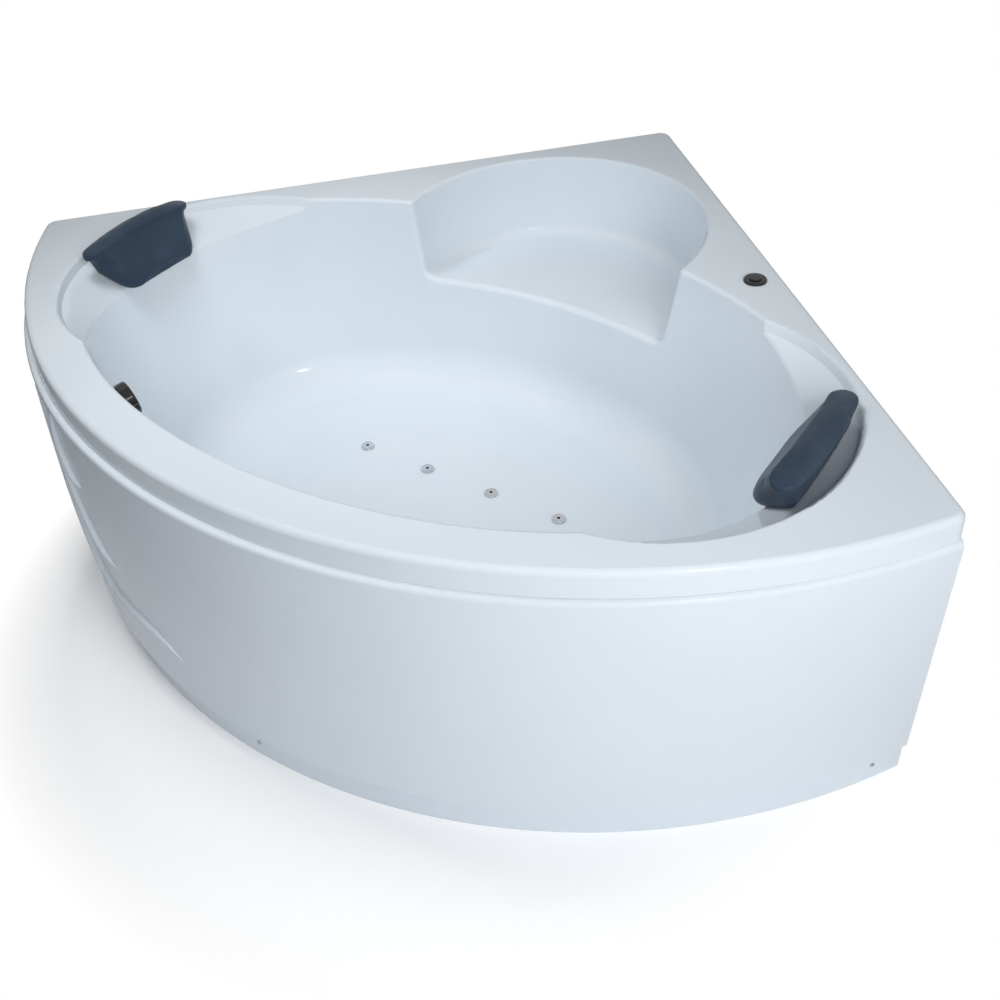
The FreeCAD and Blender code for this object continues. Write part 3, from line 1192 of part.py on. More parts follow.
def frame_rails():
    """The level tubes of the frame."""
    up = RAIL_UNDER + RAIL / 2
    front_end = FRONT_RAIL_FORWARD - RAIL / 2
    rear_end = REAR_RAIL_FORWARD + RAIL / 2
    side = CROSS_RAIL_RIGHT
    spine_end = REAR_RAIL_FORWARD - RAIL / 2
    rails = {
        "frame_rear_rail": rail(point(-REAR_RAIL_HALF, REAR_RAIL_FORWARD, up),
                                point(REAR_RAIL_HALF, REAR_RAIL_FORWARD, up)),
        "frame_front_rail": rail(point(-FRONT_RAIL_HALF, FRONT_RAIL_FORWARD, up),
                                 point(FRONT_RAIL_HALF, FRONT_RAIL_FORWARD, up)),
        "frame_left_rail": rail(point(-side, rear_end, up), point(-side, front_end, up)),
        "frame_right_rail": rail(point(side, rear_end, up), point(side, front_end, up)),
        "frame_spine": rail(point(0, SPINE_BACK, up), point(0, spine_end, up)),
    }
    return {name: drill_feet(body) for name, body in rails.items()}


def frame_posts():
    """The upright tubes that carry the deck and the seat."""
    places = {
        "corner_post": (0.0, CORNER_POST_FORWARD),
        "rear_post_left": (-REAR_POST_RIGHT, REAR_RAIL_FORWARD),
        "rear_post_right": (REAR_POST_RIGHT, REAR_RAIL_FORWARD),
        "front_post_left": (-FRONT_POST_RIGHT, FRONT_RAIL_FORWARD),
        "front_post_right": (FRONT_POST_RIGHT, FRONT_RAIL_FORWARD),
    }
    posts = {name: rail(point(*place, BOARD_UNDER), point(*place, DECK_UNDER))
             for name, place in places.items()}
    seat_under = RIM_HEIGHT - SEAT_DEPTH - ACRYLIC - SEAT_PAD[2]
    posts["seat_post"] = rail(point(0, SEAT_POST_FORWARD, BOARD_UNDER + TRAY_SHEET),
                              point(0, SEAT_POST_FORWARD, seat_under))
    return posts


def seat_pad():
    """The board between the seat post and the underside of the seat."""
    width, depth, height = SEAT_PAD
    top = RIM_HEIGHT - SEAT_DEPTH - ACRYLIC
    corner = point(-width / 2, SEAT_POST_FORWARD + depth / 2 - 20, top - height)
    return Part.makeBox(width, depth, height, corner)


def base_board():
    """The board bonded under the well's floor, with holes for the jets and the drain."""
    board = Part.Face(oval(BOARD_HALF_DEPTH, BOARD_HALF_WIDTH, BOARD_UNDER)).extrude(UP * BOARD_THICKNESS)
    for right in JET_RIGHTS:
        under = point(right, JET_FORWARD, BOARD_UNDER - 1)
        board = board.cut(disc(under, JET_NUT_RADIUS + 4, BOARD_THICKNESS + 2))
    return board.cut(disc(point(*DRAIN_PLACE, BOARD_UNDER - 1), DRAIN_BODY_RADIUS + 6, BOARD_THICKNESS + 2))


def level_foot(place):
    """A levelling foot: a round pad and the stud that screws up through its rail."""
    pad = domed(point(*place, 0), FOOT_PAD_RADIUS, FOOT_PAD_HEIGHT, 4)
    top = BOARD_UNDER - RAIL_WALL - STUD_TOP_GAP
    return pad.fuse(disc(point(*place, 0), STUD_RADIUS, top))


def hexagon_nut(place, low):
    """A hexagon nut on a stud."""
    corners = [point(place[0] + NUT_RADIUS * math.cos(math.radians(60 * n)),
                     place[1] + NUT_RADIUS * math.sin(math.radians(60 * n)), low) for n in range(7)]
    body = Part.Face(Part.makePolygon(corners)).extrude(UP * NUT_HEIGHT)
    return body.cut(disc(point(*place, low - 1), STUD_RADIUS + STUD_CLEARANCE, NUT_HEIGHT + 2))


def foot_nuts():
    """The nuts that hold the studs to the rails, one welded under each rail and one to lock."""
    nuts = []
    for place in foot_places():
        nuts.append(hexagon_nut(place, RAIL_UNDER - NUT_HEIGHT))
        nuts.append(hexagon_nut(place, RAIL_UNDER - 2 * NUT_HEIGHT))
    return Part.makeCompound(nuts)


# ---- everything ---------------------------------------------------------------------------
def all_pieces():
    """Every piece by name, in the plan frame."""
    sheet = shell_sheet()
    shell = tub_shell(sheet)
    left_pillow, right_pillow = pillows(sheet)
    pieces = {
        "tub_shell": shell,
        "front_panel": front_panel(),
        "plinth": plinth(),
        "plinth_screws": plinth_screws(),
        "plinth_brackets": plinth_brackets(),
        "pillow_left": left_pillow,
        "pillow_right": right_pillow,
        "pillow_pins": pillow_pins(),
        "button_bezel": button_bezel(),
        "button_cap": button_cap(),
        "button_bellows": button_bellows(),
        "button_nut": button_nut(),
        "button_tube": button_tube(),
        "control_box": control_box(),
        "jet_nuts": jet_nuts(),
        "air_manifold": air_manifold(),
        "blower_tray": blower_tray(),
        "blower_feet": blower_feet(),
        "blower_case": blower_case(),
        "blower_cover": blower_cover(),
        "blower_impeller": blower_impeller(),
        "blower_motor": blower_motor(),
        "motor_cap": motor_cap(),
        "check_valve": check_valve(),
        "air_hose": air_hose(),
        "drain_flange": drain_flange(),
        "drain_plug": drain_plug(),
        "drain_gasket": drain_gasket(),
        "drain_body": drain_body(),
        "trap": trap(),
        "overflow_pipe": overflow_pipe(),
        "overflow_body": overflow_body(),
        "overflow_gasket": overflow_gasket(shell),
        "overflow_ring": overflow_ring(shell),
        "overflow_knob": overflow_knob(),
        "waste_cable": waste_cable(),
        "base_board": base_board(),
        "seat_pad": seat_pad(),
        "foot_nuts": foot_nuts(),
    }
    for number, right in enumerate(JET_RIGHTS, 1):
        pieces["air_jet_%d" % number] = air_jet(right)
    pieces.update(frame_rails())
    pieces.update(frame_posts())
    for number, place in enumerate(foot_places(), 1):
        pieces["foot_%d" % number] = level_foot(place)
    return pieces


def plan_turn():
    """The turn that lays the plan frame's two walls along X and Y."""
    return FreeCAD.Rotation(UP, -45.0)


def base_middle(pieces):
    """The middle of the base of the turned pieces, where the origin goes."""
    turned = []
    for name in ("tub_shell", "front_panel"):
        copy = pieces[name].copy()
        copy.Placement = FreeCAD.Placement(Vector(0, 0, 0), plan_turn()).multiply(copy.Placement)
        turned.append(copy.optimalBoundingBox(False))
    box = turned[0].united(turned[1])
    return Vector(box.Center.x, box.Center.y, 0)


def main():
    """Build, place and export every piece."""
    os.makedirs("parts", exist_ok=True)
    pieces = all_pieces()
    move = FreeCAD.Placement(base_middle(pieces) * -1, plan_turn())
    for name, shape in pieces.items():
        shape.Placement = move.multiply(shape.Placement)
        shape.exportStep("parts/%s.step" % name)
        state = "" if shape.isValid() else "  INVALID"
        print("%-18s solids %2d  volume %12.0f%s" % (name, len(shape.Solids), shape.Volume, state))
    corner = move.multVec(Vector(0, 0, 0))
    print("corner of the room at %.2f, %.2f" % (corner.x, corner.y))


main()
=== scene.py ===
"""A corner bathtub: the finish of every piece, padded headrests, fitted trim, studio and camera.

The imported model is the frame. Lengths are in metres, in the row frame.
"""

import logging
import math
from dataclasses import dataclass, field
from enum import Enum

import bmesh
import bpy
from mathutils import Euler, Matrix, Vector


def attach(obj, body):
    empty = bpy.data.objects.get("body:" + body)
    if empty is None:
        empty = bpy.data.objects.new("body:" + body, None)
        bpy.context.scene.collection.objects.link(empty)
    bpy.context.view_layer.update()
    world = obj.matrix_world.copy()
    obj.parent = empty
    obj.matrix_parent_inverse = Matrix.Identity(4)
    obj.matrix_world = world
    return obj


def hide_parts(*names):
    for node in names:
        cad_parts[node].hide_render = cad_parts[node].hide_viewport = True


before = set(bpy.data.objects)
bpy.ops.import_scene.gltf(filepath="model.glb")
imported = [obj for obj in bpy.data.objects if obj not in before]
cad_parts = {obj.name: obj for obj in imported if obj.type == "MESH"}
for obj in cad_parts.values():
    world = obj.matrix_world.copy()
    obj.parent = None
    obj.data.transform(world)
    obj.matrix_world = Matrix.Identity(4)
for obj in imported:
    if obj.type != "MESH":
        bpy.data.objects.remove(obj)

Colour = tuple[float, float, float]
Place = tuple[float, float, float]

WHITE: Colour = (1.0, 1.0, 1.0)

log = logging.getLogger("corner_bath")


# ---- shader maths -------------------------------------------------------------------------
class Reading:
    """A number that a node gives, on which Python's operators add Math nodes."""

    def __init__(self, recipe: "Recipe", socket: bpy.types.NodeSocket) -> None:
        """Keeps the recipe that the number belongs to, and its socket."""
        self.recipe = recipe
        self.socket = socket

    def joined(self, operation: str, first: object, second: object, clamp: bool = False) -> "Reading":
        """Adds one Math node.

        Args:
            operation: The Math node's operation.
            first: A reading or a number.
            second: A reading or a number.
            clamp: Whether the result is held between 0 and 1.

        Returns:
            The result as a reading.
        """
        settings = {"operation": operation, "use_clamp": clamp}
        made = self.recipe.node("ShaderNodeMath", settings, {0: first, 1: second})
        return Reading(self.recipe, made.outputs[0])

    def __add__(self, other: object) -> "Reading":
        """This plus another."""
        return self.joined("ADD", self, other)

    def __radd__(self, other: object) -> "Reading":
        """Another plus this."""
        return self.joined("ADD", other, self)

    def __sub__(self, other: object) -> "Reading":
        """This less another."""
        return self.joined("SUBTRACT", self, other)

    def __rsub__(self, other: object) -> "Reading":
        """Another less this."""
        return self.joined("SUBTRACT", other, self)

    def __mul__(self, other: object) -> "Reading":
        """This times another."""
        return self.joined("MULTIPLY", self, other)

    def __rmul__(self, other: object) -> "Reading":
        """Another times this."""
        return self.joined("MULTIPLY", other, self)

    def held(self) -> "Reading":
        """This, held between 0 and 1."""
        return self.joined("ADD", self, 0.0, clamp=True)


class Recipe:
    """The nodes of one material, built round a Principled shader."""

    def __init__(self, name: str) -> None:
        """Starts an empty material.

        Args:
            name: The material's name.
        """
        self.material = bpy.data.materials.new(name)
        self.material.use_nodes = True
        self.tree = self.material.node_tree
        self.tree.nodes.clear()
        self.output = self.tree.nodes.new("ShaderNodeOutputMaterial")
        self.shader = self.tree.nodes.new("ShaderNodeBsdfPrincipled")
        self.tree.links.new(self.shader.outputs[0], self.output.inputs["Surface"])
        self.place = self.node("ShaderNodeTexCoord", {}, {}).outputs["Object"]

    def fill(self, node: bpy.types.Node, sockets: dict[object, object]) -> None:
        """Gives a node's sockets their values or links.

        Args:
            node: The node.
            sockets: A reading, socket, number or tuple for each input, by name or number.
        """
        for name, value in sockets.items():
            if isinstance(value, Reading):
                value = value.socket
            if isinstance(value, bpy.types.NodeSocket):
                self.tree.links.new(value, node.inputs[name])
            else:
                node.inputs[name].default_value = value

    def node(self, kind: str, settings: dict[str, object], sockets: dict[object, object]) -> bpy.types.Node:
        """Adds a node, its settings first and then its sockets.

        Args:
            kind: The node's type.
            settings: The node's own properties.
            sockets: Values or links of its inputs.

        Returns:
            The node.
        """
        made = self.tree.nodes.new(kind)
        for name, value in settings.items():
            setattr(made, name, value)
        self.fill(made, sockets)
        return made

    def noise(self, per_metre: float, detail: float = 4.0, stretch: Place = WHITE) -> Reading:
        """Clouds between 0 and 1.

        Args:
            per_metre: How many clouds go into a metre.
            detail: How many finer layers lie on them.
            stretch: A factor for each axis, small along a streak.

        Returns:
            The clouds' height.
        """
        spot = self.node("ShaderNodeMapping", {"vector_type": "POINT"},
                         {"Vector": self.place, "Scale": stretch})
        sockets = {"Vector": spot.outputs[0], "Scale": per_metre, "Detail": detail}
        return Reading(self, self.node("ShaderNodeTexNoise", {}, sockets).outputs[0])

    def cells(self, per_metre: float) -> Reading:
        """The distance to the middle of the nearest cell, in cells."""
        made = self.node("ShaderNodeTexVoronoi", {}, {"Vector": self.place, "Scale": per_metre})
        return Reading(self, made.outputs["Distance"])

    def cell_tone(self, per_metre: float) -> Reading:
        """A number for each cell, between 0 and 1."""
        made = self.node("ShaderNodeTexVoronoi", {}, {"Vector": self.place, "Scale": per_metre})
        parts = self.node("ShaderNodeSeparateColor", {}, {"Color": made.outputs["Color"]})
        return Reading(self, parts.outputs[0])

    def blend(self, share: object, first: Colour, second: Colour) -> bpy.types.NodeSocket:
        """A colour between two.

        Args:
            share: How much of the second, as a reading or a number.
            first: The colour at 0.
            second: The colour at 1.

        Returns:
            The colour's socket.
        """
        sockets = {0: share, 6: (*first, 1.0), 7: (*second, 1.0)}
        return self.node("ShaderNodeMix", {"data_type": "RGBA"}, sockets).outputs[2]

    def spread(self, share: Reading, low: float, high: float) -> Reading:
        """A ramp of one number: 0 below low, 1 above high."""
        return ((share - low) * (1.0 / (high - low))).held()

    def relief(self, height: Reading, depth: float, under: object = None) -> bpy.types.NodeSocket:
        """A bumped normal.

        Args:
            height: The relief, between 0 and 1.
            depth: What 1 stands for, in metres.
            under: The normal that it lies on, if it isn't the surface's own.

        Returns:
            The normal's socket.
        """
        sockets = {"Height": height, "Distance": depth, "Strength": 1.0}
        if under is not None:
            sockets["Normal"] = under
        return self.node("ShaderNodeBump", {}, sockets).outputs[0]

    def done(self, sockets: dict[object, object]) -> bpy.types.Material:
        """Sets the shader's sockets and gives the material."""
        self.fill(self.shader, sockets)
        return self.material


# ---- finishes -----------------------------------------------------------------------------
@dataclass(frozen=True)
class FormedAcrylic:
    """Cast acrylic sheet, vacuum formed: a wet gloss over a cool white body, with slow waves."""

    name: str
    tint: Colour
    shade: Colour
    roughness: float = 0.07
    wave: float = 0.00022
    skin: float = 0.000006

    def make(self) -> bpy.types.Material:
        """Builds the material: thick and thin places in tint, faint wipe marks, waves of the forming."""
        recipe = Recipe(self.name)
        thick = recipe.spread(recipe.noise(3.2, 3.0), 0.35, 0.68)
        flecks = recipe.spread(recipe.noise(240.0, 2.0), 0.66, 0.80)
        colour = recipe.blend(thick, self.shade, self.tint)
        deeper = tuple(share * 0.96 for share in self.tint)
        colour = recipe.node("ShaderNodeMix", {"data_type": "RGBA"},
                             {0: flecks * 0.25, 6: colour, 7: (*deeper, 1.0)}).outputs[2]
        wipes = recipe.spread(recipe.noise(9.0, 5.0, (1.0, 3.5, 2.0)), 0.45, 0.75)
        waves = recipe.relief(recipe.noise(5.5, 1.0), self.wave)
        normal = recipe.relief(recipe.noise(420.0, 2.0), self.skin, waves)
        return recipe.done({"Base Color": colour, "Roughness": wipes * 0.07 + self.roughness,
                            "Normal": normal, "Specular IOR Level": 0.5})


@dataclass(frozen=True)
class Chrome:
    """Bright plate with a bluish cast, faint buffing streaks and dried water spots."""

    name: str
    tint: Colour = (0.80, 0.82, 0.85)
    roughness: float = 0.06

    def make(self) -> bpy.types.Material:
        """Builds the material."""
        recipe = Recipe(self.name)
        buffing = recipe.noise(160.0, 5.0, (1.0, 9.0, 1.0))
        spots = recipe.spread(1.0 - recipe.cells(170.0), 0.82, 0.95)
        clouds = recipe.spread(recipe.noise(40.0), 0.3, 0.7)
        colour = recipe.blend(clouds, tuple(0.9 * c for c in self.tint), self.tint)
        roughness = buffing * 0.05 + spots * 0.14 + self.roughness
        return recipe.done({"Base Color": colour, "Metallic": 1.0, "Roughness": roughness,
                            "Normal": recipe.relief(buffing, 0.000004)})


@dataclass(frozen=True)
class MouldedPlastic:
    """Injection-moulded plastic: flow marks in the tone, and the mould's fine spark texture."""

    name: str
    tint: Colour
    roughness: float = 0.35
    grain: float = 0.00002
    grains_per_metre: float = 900.0
    coat: float = 0.0

    def make(self) -> bpy.types.Material:
        """Builds the material."""
        recipe = Recipe(self.name)
        flow = recipe.spread(recipe.noise(22.0, 4.0, (1.0, 1.0, 2.5)), 0.3, 0.75)
        darker = tuple(0.86 * c for c in self.tint)
        spark = recipe.noise(self.grains_per_metre, 3.0)
        scuffs = recipe.spread(recipe.noise(60.0, 8.0, (1.0, 6.0, 1.0)), 0.60, 0.72)
        return recipe.done({"Base Color": recipe.blend(flow, darker, self.tint),
                            "Roughness": spark * 0.08 + scuffs * 0.10 + self.roughness,
                            "Normal": recipe.relief(spark, self.grain), "Coat Weight": self.coat,
                            "Coat Roughness": 0.05})


@dataclass(frozen=True)
class Rubber:
    """Black rubber: chalky bloom in patches over a matt, finely pitted skin."""

    name: str
    tint: Colour = (0.022, 0.022, 0.024)
    bloom: Colour = (0.075, 0.075, 0.08)

    def make(self) -> bpy.types.Material:
        """Builds the material."""
        recipe = Recipe(self.name)
        patches = recipe.spread(recipe.noise(70.0, 6.0), 0.48, 0.75)
        pits = recipe.noise(1400.0, 2.0)
        return recipe.done({"Base Color": recipe.blend(patches, self.tint, self.bloom),
                            "Roughness": patches * 0.18 + 0.58, "Normal": recipe.relief(pits, 0.00003)})


@dataclass(frozen=True)
class ResinedBoard:
    """Chipboard laid into resin: tan chips of several tones under a glassy, strandy coat."""

    name: str
    pale: Colour = (0.52, 0.38, 0.22)
    dark: Colour = (0.27, 0.17, 0.09)

    def make(self) -> bpy.types.Material:
        """Builds the material."""
        recipe = Recipe(self.name)
        chips = recipe.cell_tone(190.0)
        strands = recipe.noise(90.0, 8.0, (1.0, 0.25, 1.0))
        share = (chips * 0.6 + strands * 0.5).held()
        height = chips * 0.5 + strands * 0.5
        return recipe.done({"Base Color": recipe.blend(share, self.dark, self.pale),
                            "Roughness": 0.55 - strands * 0.25, "Normal": recipe.relief(height, 0.0003)})


@dataclass(frozen=True)
class PowderCoat:
    """Baked powder paint on steel tube: orange peel, with a little dust in it."""

    name: str
    tint: Colour = (0.60, 0.61, 0.62)

    def make(self) -> bpy.types.Material:
        """Builds the material."""
        recipe = Recipe(self.name)
        peel = recipe.noise(520.0, 2.0)
        dust = recipe.spread(recipe.noise(14.0, 6.0), 0.45, 0.8)
        dusty = tuple(0.8 * c for c in self.tint)
        return recipe.done({"Base Color": recipe.blend(dust, self.tint, dusty),
                            "Roughness": dust * 0.25 + 0.32, "Normal": recipe.relief(peel, 0.00009)})


@dataclass(frozen=True)
class ZincedSteel:
    """Zinc plate: spangles of two greys with a soft, slightly yellow sheen."""

    name: str
    bright: Colour = (0.66, 0.66, 0.64)
    dull: Colour = (0.42, 0.43, 0.43)
    spangles_per_metre: float = 140.0

    def make(self) -> bpy.types.Material:
        """Builds the material."""
        recipe = Recipe(self.name)
        spangle = recipe.cell_tone(self.spangles_per_metre)
        drawn = recipe.noise(300.0, 4.0, (1.0, 1.0, 8.0))
        return recipe.done({"Base Color": recipe.blend(spangle, self.dull, self.bright), "Metallic": 1.0,
                            "Roughness": spangle * 0.14 + drawn * 0.12 + 0.24,
                            "Normal": recipe.relief(drawn, 0.000012)})


@dataclass(frozen=True)
class CastMetal:
    """Die-cast aluminium, sand-toned and grainy, with darker patches here and there."""

    name: str
    tint: Colour = (0.50, 0.51, 0.52)

    def make(self) -> bpy.types.Material:
        """Builds the material."""
        recipe = Recipe(self.name)
        grain = recipe.noise(700.0, 4.0)
        patches = recipe.spread(recipe.noise(35.0), 0.35, 0.7)
        darker = tuple(0.72 * c for c in self.tint)
        return recipe.done({"Base Color": recipe.blend(patches, darker, self.tint), "Metallic": 1.0,
                            "Roughness": grain * 0.2 + 0.42, "Normal": recipe.relief(grain, 0.00006)})


@dataclass(frozen=True)
class ClearHose:
    """Soft clear plastic tube with a milky cast."""

    name: str
    tint: Colour = (0.82, 0.86, 0.86)

    def make(self) -> bpy.types.Material:
        """Builds the material."""
        recipe = Recipe(self.name)
        haze = recipe.noise(90.0, 3.0)
        return recipe.done({"Base Color": recipe.blend(haze, tuple(0.9 * c for c in self.tint), self.tint),
                            "Roughness": haze * 0.12 + 0.12, "Transmission Weight": 0.75, "IOR": 1.5})


@dataclass(frozen=True)
class CushionSkin:
    """The slate-blue skin of moulded foam: a fine leather pebble, with painted sheen, paler where the light
    grazes it.
    """

    name: str
    tint: Colour = (0.020, 0.036, 0.062)
    # the paler colour of the painted sheen, standing in for grazing light
    painted_sheen_tint: Colour = (0.034, 0.057, 0.092)
    pebbles_per_metre: float = 620.0
    pebble: float = 0.00010

    def make(self) -> bpy.types.Material:
        """Builds the material."""
        recipe = Recipe(self.name)
        # painted sheen: broad random patches where the skin is painted paler, as if light grazed it
        painted_sheen_patches = recipe.spread(recipe.noise(11.0, 4.0), 0.35, 0.72)
        pebbles = recipe.cells(self.pebbles_per_metre)
        creases = recipe.noise(130.0, 5.0)
        normal = recipe.relief(creases, 0.00012)
        normal = recipe.relief(1.0 - pebbles, self.pebble, normal)
        # painted sheen: how much of the paler colour shows, from the broad patches and the pebbles' borders
        shade = (painted_sheen_patches * 0.7 + pebbles * 0.35).held()
        return recipe.done({"Base Color": recipe.blend(shade, self.tint, self.painted_sheen_tint),
                            "Roughness": 0.44 - painted_sheen_patches * 0.08, "Normal": normal,
                            "Specular IOR Level": 0.3, "Sheen Weight": 0.03, "Sheen Roughness": 0.4})


def dress(material: bpy.types.Material, *names: str) -> None:
    """Gives CAD nodes a finish.

    Args:
        material: The finish.
        names: The nodes' names.
    """
    for name in names:
        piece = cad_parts[name]
        for slot in piece.material_slots:
            slot.material = material
        log.info("%s is dressed in %s", name, material.name)


# ---- modelling ----------------------------------------------------------------------------
class Side(Enum):
    """The two ends of the well."""

    LEFT = -1
    RIGHT = 1


def new_piece(name: str, body: str, mesh: bpy.types.Mesh,
              material: bpy.types.Material) -> bpy.types.Object:
    """Makes an object of a finished mesh and lets it ride.

    Args:
        name: The piece's name.
        body: The body that it moves with.
        mesh: The mesh, in the row frame.
        material: The finish.

    Returns:
        The object.
    """
    piece = bpy.data.objects.new(name, mesh)
    bpy.context.scene.collection.objects.link(piece)
    mesh.materials.clear()
    mesh.materials.append(material)
    for face in mesh.polygons:
        face.use_smooth = True
    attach(piece, body)
    log.info("%s rides on %s", name, body)
    return piece


def smoothed(work: bmesh.types.BMesh, passes: int) -> None:
    """Smooths a mesh that is being worked on.

    Args:
        work: The mesh.
        passes: How often each corner moves half way to its neighbours' middle.
    """
    for _ in range(passes):
        bmesh.ops.smooth_vert(work, verts=work.verts, factor=0.5, use_axis_x=True, use_axis_y=True,
                              use_axis_z=True)


def settled(piece: bpy.types.Object) -> None:
    """Applies a piece's modifiers to its own mesh."""
    graph = bpy.context.evaluated_depsgraph_get()
    mesh = bpy.data.meshes.new_from_object(piece.evaluated_get(graph))
    piece.modifiers.clear()
    piece.data = mesh


# ---- sub-assemblies -----------------------------------------------------------------------
@dataclass
class Bath:
    """The acrylic shell with the front panel, plinth, screws and brackets."""

    shell: FormedAcrylic = FormedAcrylic("shell_acrylic", (0.755, 0.82, 0.872), (0.72, 0.79, 0.847))
    apron: FormedAcrylic = FormedAcrylic("panel_acrylic", (0.755, 0.82, 0.88), (0.73, 0.80, 0.865), 0.13)
    fixings: ZincedSteel = ZincedSteel("zinced_fixings")

    def build(self) -> None:
        """Dresses the shell and what hides its front."""
        dress(self.shell.make(), "tub_shell")
        dress(self.apron.make(), "front_panel", "plinth")
        dress(self.fixings.make(), "plinth_screws", "plinth_brackets")


@dataclass
class Headrest:
    """A moulded foam headrest that hooks over the end of the well."""

    side: Side
    skin: bpy.types.Material
    weld: float = 0.00001
    voxel: float = 0.004
    slack: float = 0.0012
    swell_limit: float = 0.0035
    pressure: float = 4.0
    frames: int = 20
    mould_passes: int = 1
    skin_passes: int = 3
    fill: float = 0.95

    @property
    def node(self) -> str:
        """The CAD node that it stands for."""
        return "pillow_left" if self.side is Side.LEFT else "pillow_right"

    def blank(self) -> bpy.types.Object:
        """The foam before it swells.

        Returns:
            A closed, even mesh of the headrest, a little smaller than its mould.
        """
        work = bmesh.new()
        work.from_mesh(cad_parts[self.node].data)
        bmesh.ops.remove_doubles(work, verts=work.verts, dist=self.weld)
        mesh = bpy.data.meshes.new(self.node + "_blank")
        work.to_mesh(mesh)
        work.free()
        piece = bpy.data.objects.new(self.node + "_blank", mesh)
        bpy.context.scene.collection.objects.link(piece)
        even = piece.modifiers.new("even", "REMESH")
        even.mode = "VOXEL"
        even.voxel_size = self.voxel
        settled(piece)
        work = bmesh.new()
        work.from_mesh(piece.data)
        smoothed(work, self.mould_passes)
        work.normal_update()
        for vertex in work.verts:
            vertex.co -= vertex.normal * self.slack
        work.to_mesh(piece.data)
        work.free()
        return piece

    def swell(self, piece: bpy.types.Object) -> None:
        """Blows the foam out against its skin.

        Args:
            piece: The blank.
        """
        scene = bpy.context.scene
        before = [vertex.co.copy() for vertex in piece.data.vertices]
        cloth = piece.modifiers.new("skin", "CLOTH")
        cloth.settings.use_pressure = True
        cloth.settings.uniform_pressure_force = self.pressure
        cloth.settings.effector_weights.gravity = 0.0
        cloth.point_cache.frame_start = 1
        cloth.point_cache.frame_end = self.frames
        for number in range(1, self.frames + 1):
            scene.frame_set(number)
        settled(piece)
        scene.frame_set(1)
        for vertex, was in zip(piece.data.vertices, before):
            move = vertex.co - was
            if move.length > self.swell_limit:
                vertex.co = was + move.normalized() * self.swell_limit
        work = bmesh.new()
        work.from_mesh(piece.data)
        smoothed(work, self.skin_passes)
        work.to_mesh(piece.data)
        work.free()

    def build(self) -> bpy.types.Object:
        """Makes the headrest and sets it in the place of its node."""
        piece = self.blank()
        self.swell(piece)
        smoother = piece.modifiers.new("smooth", "SUBSURF")
        smoother.levels = smoother.render_levels = 1
        settled(piece)
        mesh = piece.data
        bpy.data.objects.remove(piece)
        headrest = new_piece("headrest_" + self.side.name.lower(), "tub", mesh, self.skin)
        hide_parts(self.node)
        return headrest


@dataclass
class Headrests:
    """Both headrests and the pins that hold them."""

    skin: CushionSkin = CushionSkin("headrest_skin")
    pins: MouldedPlastic = MouldedPlastic("pin_plastic", (0.78, 0.79, 0.78))

    def build(self) -> None:
        """Makes the two headrests alike, and dresses their pins."""
        skin = self.skin.make()
        for side in Side:
            Headrest(side, skin).build()
        dress(self.pins.make(), "pillow_pins")


@dataclass
class AirSwitch:
    """The pressed switch in the deck, with its bellows, nut, tube and the box that it works."""

    gloss: MouldedPlastic = MouldedPlastic("switch_gloss", (0.006, 0.006, 0.007), 0.16, 0.000004, 600.0, 0.2)
    rubber: Rubber = Rubber("bellows_rubber")
    nut: MouldedPlastic = MouldedPlastic("nut_plastic", (0.20, 0.21, 0.22), 0.42)
    tube: ClearHose = ClearHose("switch_tube")
    box: MouldedPlastic = MouldedPlastic("box_plastic", (0.70, 0.71, 0.70), 0.45, 0.00004)

    def build(self) -> None:
        """Dresses the switch."""
        dress(self.gloss.make(), "button_bezel", "button_cap")
        dress(self.rubber.make(), "button_bellows")
        dress(self.nut.make(), "button_nut")
        dress(self.tube.make(), "button_tube")
        dress(self.box.make(), "control_box")


@dataclass
class AirSystem:
    """The floor jets, their nuts and feed pipe, and the blower under the seat."""

    plate: Chrome = Chrome("jet_chrome")
    pipe: MouldedPlastic = MouldedPlastic("feed_pipe", (0.74, 0.75, 0.74), 0.34)
    grey: MouldedPlastic = MouldedPlastic("blower_plastic", (0.16, 0.17, 0.18), 0.44, 0.00005, 700.0)
    hose: MouldedPlastic = MouldedPlastic("hose_plastic", (0.24, 0.25, 0.26), 0.5)
    rubber: Rubber = Rubber("foot_rubber")
    cast: CastMetal = CastMetal("motor_casting")
    tray: ZincedSteel = ZincedSteel("tray_steel")

    def build(self) -> None:
        """Dresses the jets and the blower."""
        dress(self.plate.make(), *(f"air_jet_{number}" for number in range(1, 5)))
        dress(self.pipe.make(), "air_manifold", "check_valve", "blower_impeller")
        dress(self.grey.make(), "blower_case", "blower_cover", "motor_cap", "jet_nuts")
        dress(self.hose.make(), "air_hose")
        dress(self.rubber.make(), "blower_feet")
        dress(self.cast.make(), "blower_motor")
        dress(self.tray.make(), "blower_tray")


@dataclass
class Waste:
    """The drain with its plug and trap, and the overflow with the knob that lifts the plug."""

    plate: Chrome = Chrome("waste_chrome")
    knob: MouldedPlastic = MouldedPlastic("knob_gloss", (0.007, 0.006, 0.007), 0.18, 0.000006, 600.0, 0.15)
    pipe: MouldedPlastic = MouldedPlastic("waste_pipe", (0.76, 0.77, 0.76), 0.32)
    rubber: Rubber = Rubber("gasket_rubber")
    sheath: MouldedPlastic = MouldedPlastic("cable_sheath", (0.05, 0.05, 0.055), 0.4)

    def build(self) -> None:
        """Dresses the waste."""
        dress(self.plate.make(), "drain_flange", "drain_plug", "overflow_ring")
        dress(self.knob.make(), "overflow_knob")
        dress(self.pipe.make(), "drain_body", "trap", "overflow_pipe", "overflow_body")
        dress(self.rubber.make(), "drain_gasket", "overflow_gasket")
        dress(self.sheath.make(), "waste_cable")


